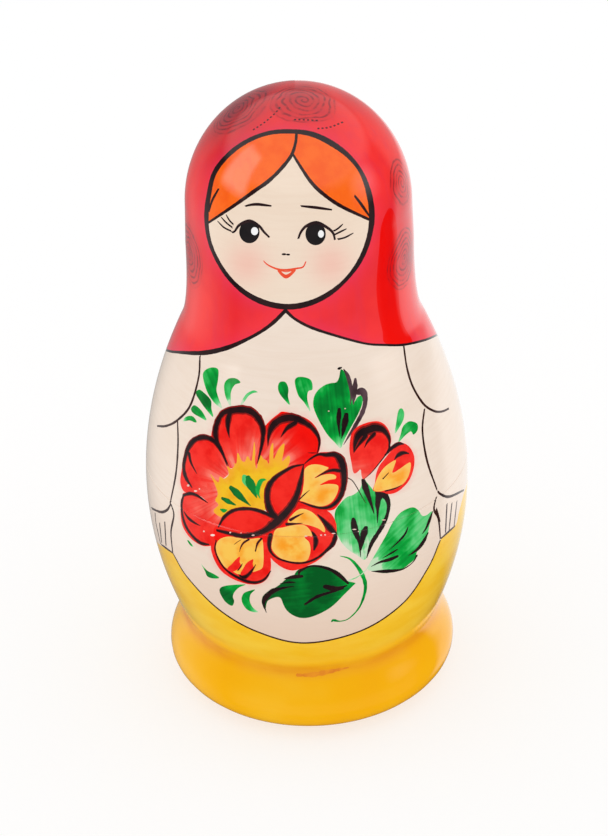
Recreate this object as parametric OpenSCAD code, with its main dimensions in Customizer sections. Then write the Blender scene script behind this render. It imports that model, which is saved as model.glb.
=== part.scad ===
// Matryoshka: a set of nesting dolls turned from lime wood. Every hollow doll is a bottom half with
// a raised lip and a top half with a socket that slips over it. Each doll stands on the inner floor
// of the next larger one, and the smallest is solid. The origin is at the centre of the outermost
// foot, the dolls' common axis is +Z, and the faces look along -Y. Lengths are in millimetres, and
// belong to the outermost doll: a smaller doll is turned to the same pattern at a smaller scale.

/* [Set] */
// Number of dolls that open, not counting the solid one in the middle
hollow_count = 6; // [1:1:6]
// Room between a doll's crown and the inside of the one around it
headroom = 14; // [6:0.5:20]
// Least side gap between a doll and the one around it, the same for all of them
nest_gap = 0.4; // [0.2:0.05:0.8]
// Film of lacquer between faces that rest on one another
rest_gap = 0.01; // [0.005:0.005:0.03]

/* [Base outline] */
// Depth of the waist, the groove above the base ring, below the belly
waist_inset = 7.1; // [4:0.1:11]
// How far the base ring stands out from the waist
base_flare = 3.9; // [1:0.1:6]
// Width of the rounded edge between the base ring and the flat foot
foot_inset = 11.5; // [3:0.5:16]
// Height of the base ring's widest place above the foot
base_rise = 7.6; // [4:0.2:11]
// Height of the waist above the base ring's widest place
waist_rise = 12.8; // [8:0.2:18]

/* [Body outline] */
// Diameter of the belly, the widest place
belly_d = 81.4; // [70:0.2:95]
// Height of the belly above the waist
belly_rise = 35.6; // [28:0.2:44]
// Depth of the shoulder, where the body turns into the neck, below the belly
shoulder_inset = 11.3; // [6:0.1:14]
// Height of the shoulder above the belly
shoulder_rise = 46; // [38:0.5:56]

/* [Head outline] */
// Depth of the neck below the shoulder
neck_inset = 2.3; // [0.5:0.1:4]
// Height of the neck above the shoulder
neck_rise = 21; // [14:0.5:28]
// Depth of the head, where the crown begins, below the neck
head_inset = 0.4; // [0:0.1:2]
// Height of the crown's beginning above the neck
head_rise = 9; // [4:0.5:16]
// Height of the crown
crown_rise = 28; // [20:0.5:36]

/* [Hollow] */
// Wall between the inside and the outside
wall = 3.6; // [2.6:0.1:4.6]
// Height of the inner floor above the waist, with the base solid below it
floor_rise = 3; // [0:0.2:5]
// Rounding of the corner between the inner floor and the wall
floor_fillet = 4; // [1:0.2:6]

/* [Lip joint] */
// Height of the seam between the halves above the belly
seam_rise = 8; // [3:0.5:14]
// Height of the lip above the seam
lip_height = 6; // [4:0.25:11]
// Wall of the lip on the bottom half
lip_wall = 2.1; // [1.5:0.1:2.7]
// Wall of the top half at the end of its socket
socket_wall = 2.3; // [1.6:0.1:2.9]
// Room between the end of the lip and the end of its socket
lip_end_gap = 0.4; // [0.2:0.1:1]
// Radial clearance between lip and socket, the same on all dolls
joint_gap = 0.05; // [0.02:0.01:0.1]
// Width of the broken edges at the seam and on the lip, the same on all dolls
edge_break = 0.15; // [0.1:0.05:0.35]

/* [Hidden] */
$fn = 128;
// Straight pieces in each curve of an outline
curve_steps = 14;

belly_r = belly_d / 2;
waist_r = belly_r - waist_inset;
base_r = waist_r + base_flare;
foot_r = base_r - foot_inset;
shoulder_r = belly_r - shoulder_inset;
neck_r = shoulder_r - neck_inset;
head_r = neck_r - head_inset;

waist_z = base_rise + waist_rise;
floor_z = waist_z + floor_rise;
belly_z = waist_z + belly_rise;
seam_z = belly_z + seam_rise;
lip_top_z = seam_z + lip_height;
socket_end_z = lip_top_z + lip_end_gap;
shoulder_z = belly_z + shoulder_rise;
neck_z = shoulder_z + neck_rise;
head_z = neck_z + head_rise;
crown_z = head_z + crown_rise;

function blend(a, b, t) = a + (b - a) * t;
function steps_from(first) = [for (i = [first:curve_steps]) i / curve_steps];
function reversed(points) = [for (i = [len(points) - 1:-1:0]) points[i]];

// Radius of the body's outside between the waist and the shoulder: two parabolas that meet at the belly
function body_r(z) = z < belly_z
    ? blend(belly_r, waist_r, pow((belly_z - z) / belly_rise, 2))
    : blend(belly_r, shoulder_r, pow((z - belly_z) / shoulder_rise, 2));

// Corner of the neck's cove, where the tangents of the shoulder and the neck cross
shoulder_slope = 2 * shoulder_inset / shoulder_rise;
cove_z = shoulder_z + min(neck_inset / shoulder_slope, neck_rise);

// Radii of the lip's outside and bore, and of the bowl from the floor up to the seam
lip_r = body_r(socket_end_z) - socket_wall;
lip_bore_r = lip_r - lip_wall;
floor_r = body_r(floor_z) - wall;
function bowl_r(z) = blend(lip_bore_r, floor_r, pow((seam_z - z) / (seam_z - floor_z), 2));

// Scale of the doll inside one of this scale: what the height leaves, if it passes the lip, the bowl
// at its base ring and the head
height_share = (crown_z - wall - headroom - floor_z) / crown_z;
function next_scale(scale) = min(
    scale * height_share,
    (scale * lip_bore_r - nest_gap) / belly_r,
    (scale * bowl_r(floor_z + height_share * base_rise) - nest_gap) / base_r,
    (scale * (head_r - wall) - nest_gap) / head_r
);
function doll_scale(i) = i == 0 ? 1 : next_scale(doll_scale(i - 1));
function doll_z(i) = i == 0 ? 0 : doll_z(i - 1) + doll_scale(i - 1) * floor_z + rest_gap;

// Rounded edge of the foot and base ring, up to the waist
function base_outline() = concat(
    [for (t = steps_from(0)) [blend(foot_r, base_r, sin(90 * t)), base_rise * (1 - cos(90 * t))]],
    [for (t = steps_from(1)) [blend(base_r, waist_r, (1 - cos(180 * t)) / 2), base_rise + waist_rise * t]]
);

// Body from low to high, drawn in by inset, without its first point
function body_outline(low, high, inset) = [
    for (t = steps_from(1)) let (z = blend(low, high, t)) [body_r(z) - inset, z]
];

// Cove of the neck, head and crown, drawn in by inset, up to the axis
function head_outline(inset) = concat(
    [for (t = steps_from(1)) [
        blend(shoulder_r, neck_r, 1 - pow(1 - t, 2)) - inset,
        blend(blend(shoulder_z, cove_z, t), blend(cove_z, neck_z, t), t)
    ]],
    [for (t = steps_from(0)) [
        (head_r - inset) * cos(90 * t),
        head_z + (crown_rise - inset) * sin(90 * t)
    ]]
);

// Bowl of a bottom half, from the rounded corner of the floor up to the seam
function bowl_outline() =
    let (
        corner_z = floor_z + floor_fillet,
        corner_r = bowl_r(corner_z)
    )
    concat(
        [for (t = steps_from(0)) [
            corner_r - floor_fillet * (1 - sin(90 * t)),
            corner_z - floor_fillet * cos(90 * t)
        ]],
        [for (t = steps_from(1)) let (z = blend(corner_z, seam_z, t)) [bowl_r(z), z]]
    );

// Bottom half: base, belly and bowl, with the lip standing above the seam
module bottom_half(i) {
    edge = edge_break / doll_scale(i);
    seam_r = body_r(seam_z);
    color("gold")
    translate([0, 0, doll_z(i)])
    scale(doll_scale(i))
    rotate_extrude()
    polygon(concat(
        [[0, 0]],
        base_outline(),
        body_outline(waist_z, seam_z - edge, 0),
        [[seam_r - edge, seam_z], [lip_r, seam_z]],
        [[lip_r, lip_top_z - edge], [lip_r - edge, lip_top_z], [lip_bore_r, lip_top_z]],
        reversed(bowl_outline()),
        [[0, floor_z]]
    ));
}

// Top half: belly above the seam, shoulder and head, with the socket that slips over the lip
module top_half(i) {
    edge = edge_break / doll_scale(i);
    seam_r = body_r(seam_z);
    socket_r = lip_r + joint_gap / doll_scale(i);
    color("crimson")
    translate([0, 0, doll_z(i) + rest_gap])
    scale(doll_scale(i))
    rotate_extrude()
    polygon(concat(
        [[socket_r, seam_z], [seam_r - edge, seam_z], [body_r(seam_z + edge), seam_z + edge]],
        body_outline(seam_z + edge, shoulder_z, 0),
        head_outline(0),
        reversed(head_outline(wall)),
        reversed(body_outline(socket_end_z, shoulder_z, wall)),
        [[body_r(socket_end_z) - wall, socket_end_z], [socket_r, socket_end_z]]
    ));
}

// The smallest doll, turned in one solid piece
module solid_doll(i) {
    color("crimson")
    translate([0, 0, doll_z(i)])
    scale(doll_scale(i))
    rotate_extrude()
    polygon(concat(
        [[0, 0]],
        base_outline(),
        body_outline(waist_z, shoulder_z, 0),
        head_outline(0)
    ));
}

function bottom_name(i) = str("doll_", i + 1, "_bottom_half");
function top_name(i) = str("doll_", i + 1, "_top_half");
solid_name = str("doll_", hollow_count + 1, "_solid");

// From the outermost bottom half inwards, and out again to the outermost top half

for (i = [0:hollow_count - 1]) {
    bottom_half(i);
    top_half(i);
}
solid_doll(hollow_count);
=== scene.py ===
"""Painted matryoshka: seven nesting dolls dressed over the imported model.

Every half is one closed mesh: its outside is cut along the edges of all painted shapes, and its
inside, lip or socket is turned from the same outline as the model. Painted shapes are drawn as
points in the photograph's pixels and carried onto the surface through the camera. The rest is in
millimetres of the outermost doll, and a smaller doll is the same pattern at a smaller scale.
"""

import math

import bpy
import numpy as np
from mathutils import Matrix, Vector, geometry, kdtree


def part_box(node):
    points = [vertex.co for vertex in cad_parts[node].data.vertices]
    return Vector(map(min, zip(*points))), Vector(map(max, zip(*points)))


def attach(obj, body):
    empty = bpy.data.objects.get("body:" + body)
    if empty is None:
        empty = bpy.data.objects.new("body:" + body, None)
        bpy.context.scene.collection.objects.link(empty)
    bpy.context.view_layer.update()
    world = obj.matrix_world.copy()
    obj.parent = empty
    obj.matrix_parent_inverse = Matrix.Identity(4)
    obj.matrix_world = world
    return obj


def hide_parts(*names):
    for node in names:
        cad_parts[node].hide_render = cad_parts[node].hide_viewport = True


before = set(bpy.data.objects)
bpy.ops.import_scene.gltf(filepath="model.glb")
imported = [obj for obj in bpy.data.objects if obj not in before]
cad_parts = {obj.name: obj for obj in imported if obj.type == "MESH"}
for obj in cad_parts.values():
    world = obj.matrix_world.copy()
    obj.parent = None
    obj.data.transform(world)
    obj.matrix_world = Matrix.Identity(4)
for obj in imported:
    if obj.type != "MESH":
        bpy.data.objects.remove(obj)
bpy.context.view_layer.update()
rng = np.random.default_rng(7)

MM = 0.001
HOLLOW_COUNT = 6

# Outline of the outermost doll
FOOT_R = 26.0
BASE_R = 37.5
WAIST_R = 33.6
BELLY_R = 40.7
SHOULDER_R = 29.4
NECK_R = 27.1
HEAD_R = 26.7
BASE_Z = 7.6
WAIST_Z = 20.4
BELLY_Z = 56.0
SEAM_Z = 64.0
SHOULDER_Z = 102.0
NECK_Z = 123.0
HEAD_Z = 132.0
CROWN_Z = 160.0

# Inside and joint of the outermost doll
WALL = 3.6
FLOOR_Z = 23.4
FLOOR_FILLET = 4.0
LIP_TOP_Z = 70.0
SOCKET_END_Z = 70.4
LIP_WALL = 2.1
SOCKET_WALL = 2.3
JOINT_GAP = 0.05
EDGE_BREAK = 0.15

# Photograph and camera
PHOTO_W = 608
PHOTO_H = 836
SENSOR_MM = 36.0
FOCAL_PX = 1999.7
DISTANCE = 496.0
ELEVATION = math.radians(29.866)
ROLL = math.radians(1.823)
MIDDLE_Z = 80.0
MIDDLE_PX = (304.5, 392.35)
# Search along a ray: from before to behind the middle of the doll in steps, then by halving
BEFORE_MM = 110
BEHIND_MM = 60
RAY_STEPS = 500
HALVINGS = 30
POLE_MM = 0.01

# Fineness of the meshes
PAINT_STEP_PX = 1.3
GRID_MM = 1.5
SEAM_POINTS = 240
INSIDE_STEPS = 12
CURVE_STEPS = 12
BACK_POINTS = 90
# Smaller dolls are coarser by these powers of their scale; only the outermost has its full detail and wear
GRID_POWER = 0.6
LINE_POWER = 0.8
FULL_DETAIL = 1.1
# Painted edges are followed this far past the seam, and points are tested in batches of this size
PAST_SEAM_MM = 6.0
BATCH = 4000000
# Distance in the chart below which points are one
SAME_POINT = 3e-6


# Outline

def blend(a, b, t):
    return a + (b - a) * t


def body_r(z):
    """Radius of the body between the waist and the shoulder."""
    low = blend(BELLY_R, WAIST_R, ((BELLY_Z - z) / (BELLY_Z - WAIST_Z)) ** 2)
    high = blend(BELLY_R, SHOULDER_R, ((z - BELLY_Z) / (SHOULDER_Z - BELLY_Z)) ** 2)
    return np.where(np.asarray(z) < BELLY_Z, low, high)


def head_outline(inset, steps):
    """Cove of the neck, head and crown up to the axis, drawn in by inset."""
    slope = 2 * (BELLY_R - SHOULDER_R) / (SHOULDER_Z - BELLY_Z)
    cove_z = SHOULDER_Z + (SHOULDER_R - NECK_R) / slope
    t = np.linspace(0, 1, steps + 1)
    cove_r = blend(SHOULDER_R, NECK_R, 1 - (1 - t) ** 2) - inset
    cove = np.stack([cove_r, blend(blend(SHOULDER_Z, cove_z, t), blend(cove_z, NECK_Z, t), t)], 1)
    quarter = t * math.pi / 2
    crown_r = (HEAD_R - inset) * np.cos(quarter)
    crown = np.stack([crown_r, HEAD_Z + (CROWN_Z - HEAD_Z - inset) * np.sin(quarter)], 1)
    crown[-1, 0] = 0
    return np.concatenate([cove[1:], crown])


def outside_outline(steps):
    """Whole outside from the middle of the foot to the top of the crown."""
    t = np.linspace(0, 1, steps + 1)
    quarter = t * math.pi / 2
    foot = np.stack([FOOT_R * t, 0 * t], 1)
    edge = np.stack([blend(FOOT_R, BASE_R, np.sin(quarter)), BASE_Z * (1 - np.cos(quarter))], 1)
    waist_r = blend(BASE_R, WAIST_R, (1 - np.cos(math.pi * t)) / 2)
    waist = np.stack([waist_r, blend(BASE_Z, WAIST_Z, t)], 1)
    z = np.linspace(WAIST_Z, SHOULDER_Z, 3 * steps)
    body = np.stack([body_r(z), z], 1)
    return np.concatenate([foot, edge[1:], waist[1:], body[1:], head_outline(0, steps)])


OUTLINE = outside_outline(400)
OUTLINE_S = np.concatenate([[0], np.cumsum(np.hypot(*np.diff(OUTLINE, axis=0).T))])
SIDE = OUTLINE[:, 1] > 0


def s_at(z):
    """Length along the outline, from the middle of the foot, at a height on the side."""
    return np.interp(z, OUTLINE[SIDE, 1], OUTLINE_S[SIDE])


def r_at(s):
    return np.interp(s, OUTLINE_S, OUTLINE[:, 0])


def z_at(s):
    return np.interp(s, OUTLINE_S, OUTLINE[:, 1])


def place(theta, s):
    """Points on the outside; theta 0 is the front, which looks along -Y."""
    r = r_at(s)
    return np.stack([r * np.sin(theta), -r * np.cos(theta), z_at(s)], -1)


def outward(theta, s, reach=0.15):
    """Normals of the outside."""
    low = np.clip(s - reach, 0, OUTLINE_S[-1])
    high = np.clip(s + reach, 0, OUTLINE_S[-1])
    along_r = r_at(high) - r_at(low)
    along_z = z_at(high) - z_at(low)
    size = np.maximum(np.hypot(along_r, along_z), 1e-9)
    flat_part = along_z / size
    return np.stack([flat_part * np.sin(theta), -flat_part * np.cos(theta), -along_r / size], -1)


# Chart: a map of the outside that keeps angles, with the crown or the foot in the middle

INNER = OUTLINE[:, 0] > 0.05
RATE = np.where(INNER, 1 / np.maximum(OUTLINE[:, 0], 0.05), 0)
STEP_SUM = np.concatenate([[0], np.cumsum((RATE[1:] + RATE[:-1]) / 2 * np.diff(OUTLINE_S))])
SEAM_SUM = np.interp(s_at(SEAM_Z), OUTLINE_S, STEP_SUM)


class Chart:
    """The map of one half, in which the seam is the unit circle."""

    def __init__(self, up):
        self.up = up
        radius = np.exp((SEAM_SUM - STEP_SUM) * (1 if up else -1))
        pole = -1 if up else 0
        near = np.nonzero(INNER)[0][pole]
        outer = ~INNER & ((OUTLINE_S > OUTLINE_S[near]) if up else (OUTLINE_S < OUTLINE_S[near]))
        radius[outer] = radius[near] * OUTLINE[outer, 0] / OUTLINE[near, 0]
        self.radius = radius

    def plane(self, theta, s):
        big = np.interp(s, OUTLINE_S, self.radius)
        return np.stack([big * np.sin(theta), -big * np.cos(theta)], -1)

    def back(self, points):
        """Angle and outline length of points of the plane."""
        big = np.hypot(points[:, 0], points[:, 1])
        order = slice(None, None, -1) if self.up else slice(None)
        s = np.interp(big, self.radius[order], OUTLINE_S[order])
        return np.arctan2(points[:, 0], -points[:, 1]), s


# Camera

def camera_axes():
    """Place of the camera, and its axes to the right, up and forward."""
    back = np.array([0, -math.cos(ELEVATION), math.sin(ELEVATION)])
    spot = np.array([0, 0, MIDDLE_Z]) + DISTANCE * back
    right = np.array([1.0, 0, 0])
    up = np.array([0, math.sin(ELEVATION), math.cos(ELEVATION)])
    ahead = -back
    # turn the camera until the middle of the doll shows at its pixel
    aside = (MIDDLE_PX[0] - PHOTO_W / 2) / FOCAL_PX
    below = (PHOTO_H / 2 - MIDDLE_PX[1]) / FOCAL_PX
    aside, below = (aside * math.cos(ROLL) + below * math.sin(ROLL),
                    below * math.cos(ROLL) - aside * math.sin(ROLL))
    ahead = ahead - aside * right - below * up
    ahead /= np.linalg.norm(ahead)
    right = np.cross(ahead, np.array([0, 0, 1.0]))
    right /= np.linalg.norm(right)
    up = np.cross(right, ahead)
    turned_right = right * math.cos(ROLL) - up * math.sin(ROLL)
    turned_up = right * math.sin(ROLL) + up * math.cos(ROLL)
    return spot, turned_right, turned_up, ahead


CAMERA, RIGHT, UP, AHEAD = camera_axes()


def to_pixels(points):
    """Photograph pixels of points in space."""
    away = points - CAMERA
    depth = away @ AHEAD
    return np.stack([PHOTO_W / 2 + FOCAL_PX * (away @ RIGHT) / depth,
                     PHOTO_H / 2 - FOCAL_PX * (away @ UP) / depth], -1)


def on_surface(pixels):
    """Angle and outline length where the rays of pixels meet the doll, or come nearest to it."""
    pixels = np.asarray(pixels, float)
    rays = (AHEAD + np.outer((pixels[:, 0] - PHOTO_W / 2) / FOCAL_PX, RIGHT)
            + np.outer((PHOTO_H / 2 - pixels[:, 1]) / FOCAL_PX, UP))
    rays /= np.linalg.norm(rays, axis=1)[:, None]

    def depth_in(t):
        p = CAMERA + rays * t[:, None]
        inside_z = np.clip(p[:, 2], 0, CROWN_Z)
        off = np.hypot(p[:, 0], p[:, 1]) - r_at(s_at(inside_z))
        return np.maximum(off, np.maximum(p[:, 2] - CROWN_Z, -p[:, 2]))

    reach = np.linspace(DISTANCE - BEFORE_MM, DISTANCE + BEHIND_MM, RAY_STEPS)
    gap = np.stack([depth_in(np.full(len(rays), t)) for t in reach], 1)
    hit = (gap < 0).any(1)
    first = np.where(hit, np.argmax(gap < 0, axis=1), np.argmin(gap, axis=1))
    low = reach[np.maximum(first - 1, 0)]
    high = reach[first]
    for _ in range(HALVINGS):
        middle = (low + high) / 2
        inside = depth_in(middle) < 0
        high = np.where(inside, middle, high)
        low = np.where(inside, low, middle)
    t = np.where(hit, high, reach[first])
    p = CAMERA + rays * t[:, None]
    return np.arctan2(p[:, 0], -p[:, 1]), s_at(np.clip(p[:, 2], POLE_MM, CROWN_Z - POLE_MM))


# Lines and shapes, in pixels of the photograph

PX_PER_MM = FOCAL_PX / DISTANCE
# Width of a stroke that is drawn out to a hair, and the turns that round off one that is not
HAIR_PX = 0.1
CAP_TURNS = np.radians([25, 50, 75])


def smooth(points, closed=False, step=PAINT_STEP_PX):
    """A curve through the points, in short even steps; a width as third column runs along."""
    p = np.asarray(points, float)
    if closed:
        p = np.concatenate([p[-1:], p, p[:2]])
    else:
        p = np.concatenate([2 * p[:1] - p[1:2], p, 2 * p[-1:] - p[-2:-1]])
    out = []
    for a, b, c, d in zip(p, p[1:], p[2:], p[3:]):
        t = np.linspace(0, 1, CURVE_STEPS, endpoint=False)[:, None]
        out.append(0.5 * (2 * b + (c - a) * t + (2 * a - 5 * b + 4 * c - d) * t ** 2
                          + (3 * b - a - 3 * c + d) * t ** 3))
    if not closed:
        out.append(p[-2:-1])
    return even(np.concatenate(out), closed, step)


def even(curve, closed, step):
    """The same line in even steps."""
    if closed:
        curve = np.concatenate([curve, curve[:1]])
    length = np.concatenate([[0], np.cumsum(np.hypot(*np.diff(curve[:, :2], axis=0).T))])
    count = max(int(math.ceil(length[-1] / step)), 4)
    at = np.linspace(0, length[-1], count + 1)
    if closed:
        at = at[:-1]
    return np.stack([np.interp(at, length, column) for column in curve.T], 1)


def ellipse(centre, rx, ry, step=PAINT_STEP_PX):
    count = max(int(2 * math.pi * max(rx, ry) / step), 8)
    a = np.linspace(0, 2 * math.pi, count, endpoint=False)
    return np.stack([centre[0] + rx * np.cos(a), centre[1] + ry * np.sin(a)], 1)


def part_of(loop, start, end):
    """Part of a closed line, forward from its point nearest to start to that nearest to end."""
    first = np.hypot(*(loop - start).T).argmin()
    last = np.hypot(*(loop - end).T).argmin()
    return np.roll(loop, -first, axis=0)[:(last - first) % len(loop) + 1]


class Sheet:
    """An enlarged view of a part of the photograph, on which shapes and strokes were drawn."""

    def __init__(self, left, top, zoom):
        self.corner = np.array([left, top], float)
        self.zoom = zoom

    def __call__(self, points):
        """Photograph pixels of points, and of the widths that may follow them."""
        points = np.asarray(points, float) / self.zoom
        points[:, :2] += self.corner
        return points


class Shape:
    """A painted area: its loops of (angle, outline length), its paint, and how the brush ran.

    base and tip are the ends of the brush's way in pixels, and light is the paint's lightness. An area
    that goes round the axis names the only half that it is on, "top" or "bottom". Wear is on the
    outermost doll alone."""

    def __init__(self, paint, loops, base=None, tip=None, light=0.5, cut=True, only=None, wear=False):
        self.paint = paint
        self.loops = loops
        self.base = base
        self.tip = tip
        self.light = light
        self.cut = cut
        self.only = only
        self.wear = wear


SHAPES = []


def fill(paint, pixels, **more):
    """An area with a closed outline in pixels."""
    SHAPES.append(Shape(paint, [np.stack(on_surface(pixels), 1)], **more))


def sides(line, widths):
    """Both edges, on the surface, of a brush line; widths in millimetres."""
    theta, s = line[:, 0], line[:, 1]
    r = np.maximum(r_at(s), 0.5)
    across = np.gradient(theta) * r
    along = np.gradient(s)
    size = np.maximum(np.hypot(across, along), 1e-9)
    side_theta = -along / size * widths / 2 / r
    side_s = across / size * widths / 2
    return np.stack([theta + side_theta, s + side_s], 1), np.stack([theta - side_theta, s - side_s], 1)


def ribbon(line, widths):
    """Closed outline, on the surface, of a brush line; widths in millimetres."""
    left, right = sides(line, widths)
    return np.concatenate([left, right[::-1]])


def ragged(widths, share):
    """Widths with the small unevenness of a dry brush."""
    wave = rng.normal(size=len(widths))
    wave = np.convolve(wave, [0.25, 0.5, 0.25], "same")
    return widths * (1 + share * np.clip(wave, -1.5, 1.5))


def width_along(count, start, middle, end):
    """Width of a brush line from its start over its middle to its end."""
    t = np.linspace(0, 1, count)
    swell = np.sin(t * math.pi)
    return blend(blend(start, end, t), middle, swell)


def line(paint, points, start, middle, end, rough=0.0, **more):
    """A brush line through pixels; widths in millimetres."""
    pixels = smooth(points)
    widths = width_along(len(pixels), start, middle, end)
    if rough:
        widths = ragged(widths, rough)
    SHAPES.append(Shape(paint, [ribbon(np.stack(on_surface(pixels), 1), widths)], **more))


def cap(end, before):
    """Points that round off the end of a stroke, where it isn't drawn out to a hair."""
    if end[2] < 1.0:
        return np.empty((0, 3))
    way = (end[:2] - before[:2]) / np.hypot(*(end[:2] - before[:2]))
    spots = end[:2] + np.outer(end[2] / 2 * np.sin(CAP_TURNS), way)
    return np.column_stack([spots, end[2] * np.cos(CAP_TURNS)])


def brushed(points, rough):
    """Line on the surface, and widths in millimetres, of a stroke through points with widths in pixels."""
    path = smooth(points)
    path = np.concatenate([cap(path[0], path[1])[::-1], path, cap(path[-1], path[-2])])
    widths = ragged(np.maximum(path[:, 2], HAIR_PX) / PX_PER_MM, rough)
    return np.stack(on_surface(path[:, :2]), 1), widths


def stroke(paint, points, rough=0.08, **more):
    """A brush stroke through points with widths, all in pixels."""
    SHAPES.append(Shape(paint, [ribbon(*brushed(points, rough))], **more))


def layered(strokes, layers, rough=0.08):
    """Strokes in several layers of paint, each with its share of the widths."""
    lines = [brushed(points, rough) for points in strokes]
    for paint, share in layers:
        for middle, widths in lines:
            SHAPES.append(Shape(paint, [ribbon(middle, share * widths)]))


def closed_stroke(paint, points, rough=0.04):
    """A brush stroke that runs back into itself."""
    path = smooth(points, closed=True)
    path = np.concatenate([path[-2:], path, path[:2]])
    widths = ragged(path[:, 2] / PX_PER_MM, rough)
    left, right = sides(np.stack(on_surface(path[:, :2]), 1), widths)
    SHAPES.append(Shape(paint, [left[2:-2], right[2:-2][::-1]]))


# Loops that go all round the doll

def loop_round(front, back_z):
    """Closed loop through front points in (angle, outline length), joined behind near a height."""
    theta, s = front[:, 0], front[:, 1]
    gap = 2 * math.pi - (theta[-1] - theta[0])
    t = np.linspace(0, 1, BACK_POINTS)[1:-1]
    behind = blend(blend(s[-1], s[0], t), s_at(back_z), np.sin(t * math.pi))
    return np.concatenate([front, np.stack([theta[-1] + gap * t, behind], 1)])


def ring_at(s, count=SEAM_POINTS):
    theta = np.linspace(-math.pi, math.pi, count, endpoint=False)
    return np.stack([theta, np.full(count, s)], 1)


# Enlarged views, with the photograph's pixel at their corner and their enlargement
WHOLE_SHEET = Sheet(150, 330, 4.7515)
LEFT_SHEET = Sheet(178, 400, 10.814)
HIGH_SHEET = Sheet(255, 400, 13.067)
LOW_SHEET = Sheet(205, 485, 11.2)
BUD_SHEET = Sheet(300, 360, 11.2)
LEAF_SHEET = Sheet(330, 470, 12.06)
FOOT_SHEET = Sheet(195, 545, 8.711)
HEAD_SHEET = Sheet(140, 60, 4.3556)
BASE_SHEET = Sheet(150, 500, 4.7515)

# Skirt and apron
SKIRT_LEFT = [(151, 533), (155, 540), (163, 547), (172.7, 553)]
APRON = [(172.7, 553), (188, 578), (219.5, 610), (258, 632), (305, 643), (360.5, 631), (402.6, 603.6),
         (428, 568), (440.4, 540)]
SKIRT_RIGHT = [(440.4, 540), (455, 526), (459, 512), (464.5, 491)]
SKIRT_BACK_Z = 57.0
APRON_LINE_MM = 0.62
RUST = BASE_SHEET([(700, 832, 14), (770, 830, 24), (850, 816, 20), (942, 796, 6)])

# Leaves: lightness of the green, base and tip of the brush's way, outline
LEAVES = [
    (BUD_SHEET, 0.42, (455, 985), (390, 300), [(455, 990), (395, 930), (310, 840), (240, 730), (180, 610),
                                               (148, 510), (158, 410), (205, 335), (280, 280), (350, 258),
                                               (405, 250), (436, 200), (458, 105), (510, 150), (555, 260),
                                               (580, 400), (600, 480), (640, 420), (690, 395), (705, 440),
                                               (685, 530), (640, 630), (585, 730), (525, 840),
                                               (482, 930)]),
    (LEAF_SHEET, 0.68, (410, 1085), (330, 250), [(405, 1085), (330, 1030), (220, 960), (130, 860),
                                                 (80, 750), (58, 620), (62, 500), (110, 420), (200, 330),
                                                 (280, 300), (345, 250), (378, 190), (388, 125),
                                                 (430, 135), (480, 190), (530, 245), (600, 238),
                                                 (665, 270), (705, 340), (715, 430), (695, 540),
                                                 (650, 650), (600, 740), (540, 830), (480, 930),
                                                 (440, 1060)]),
    (LEAF_SHEET, 0.62, (455, 1190), (1130, 560), [(450, 1192), (520, 1060), (600, 920), (680, 780),
                                                  (740, 660), (820, 545), (900, 482), (1000, 450),
                                                  (1065, 485), (1110, 550), (1165, 545), (1232, 500),
                                                  (1205, 640), (1182, 750), (1135, 840), (1085, 920),
                                                  (1045, 1000), (1030, 1065), (960, 1130), (880, 1185),
                                                  (760, 1212), (620, 1222), (520, 1218)]),
    (FOOT_SHEET, 0.05, (1395, 335), (660, 420), [(1400, 332), (1320, 310), (1250, 265), (1170, 215),
                                                 (1090, 185), (1020, 178), (940, 192), (885, 228),
                                                 (850, 280), (790, 300), (750, 335), (700, 370),
                                                 (645, 402), (600, 452), (585, 510), (612, 565),
                                                 (632, 490), (700, 456), (745, 462), (770, 520),
                                                 (800, 570), (850, 610), (920, 635), (1000, 630),
                                                 (1100, 592), (1200, 530), (1300, 432), (1380, 352)]),
]
LEAF_GAP = LEAF_SHEET([(606, 556), (608, 490), (618, 420), (642, 384), (670, 402), (666, 470),
                       (638, 532)])
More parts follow.
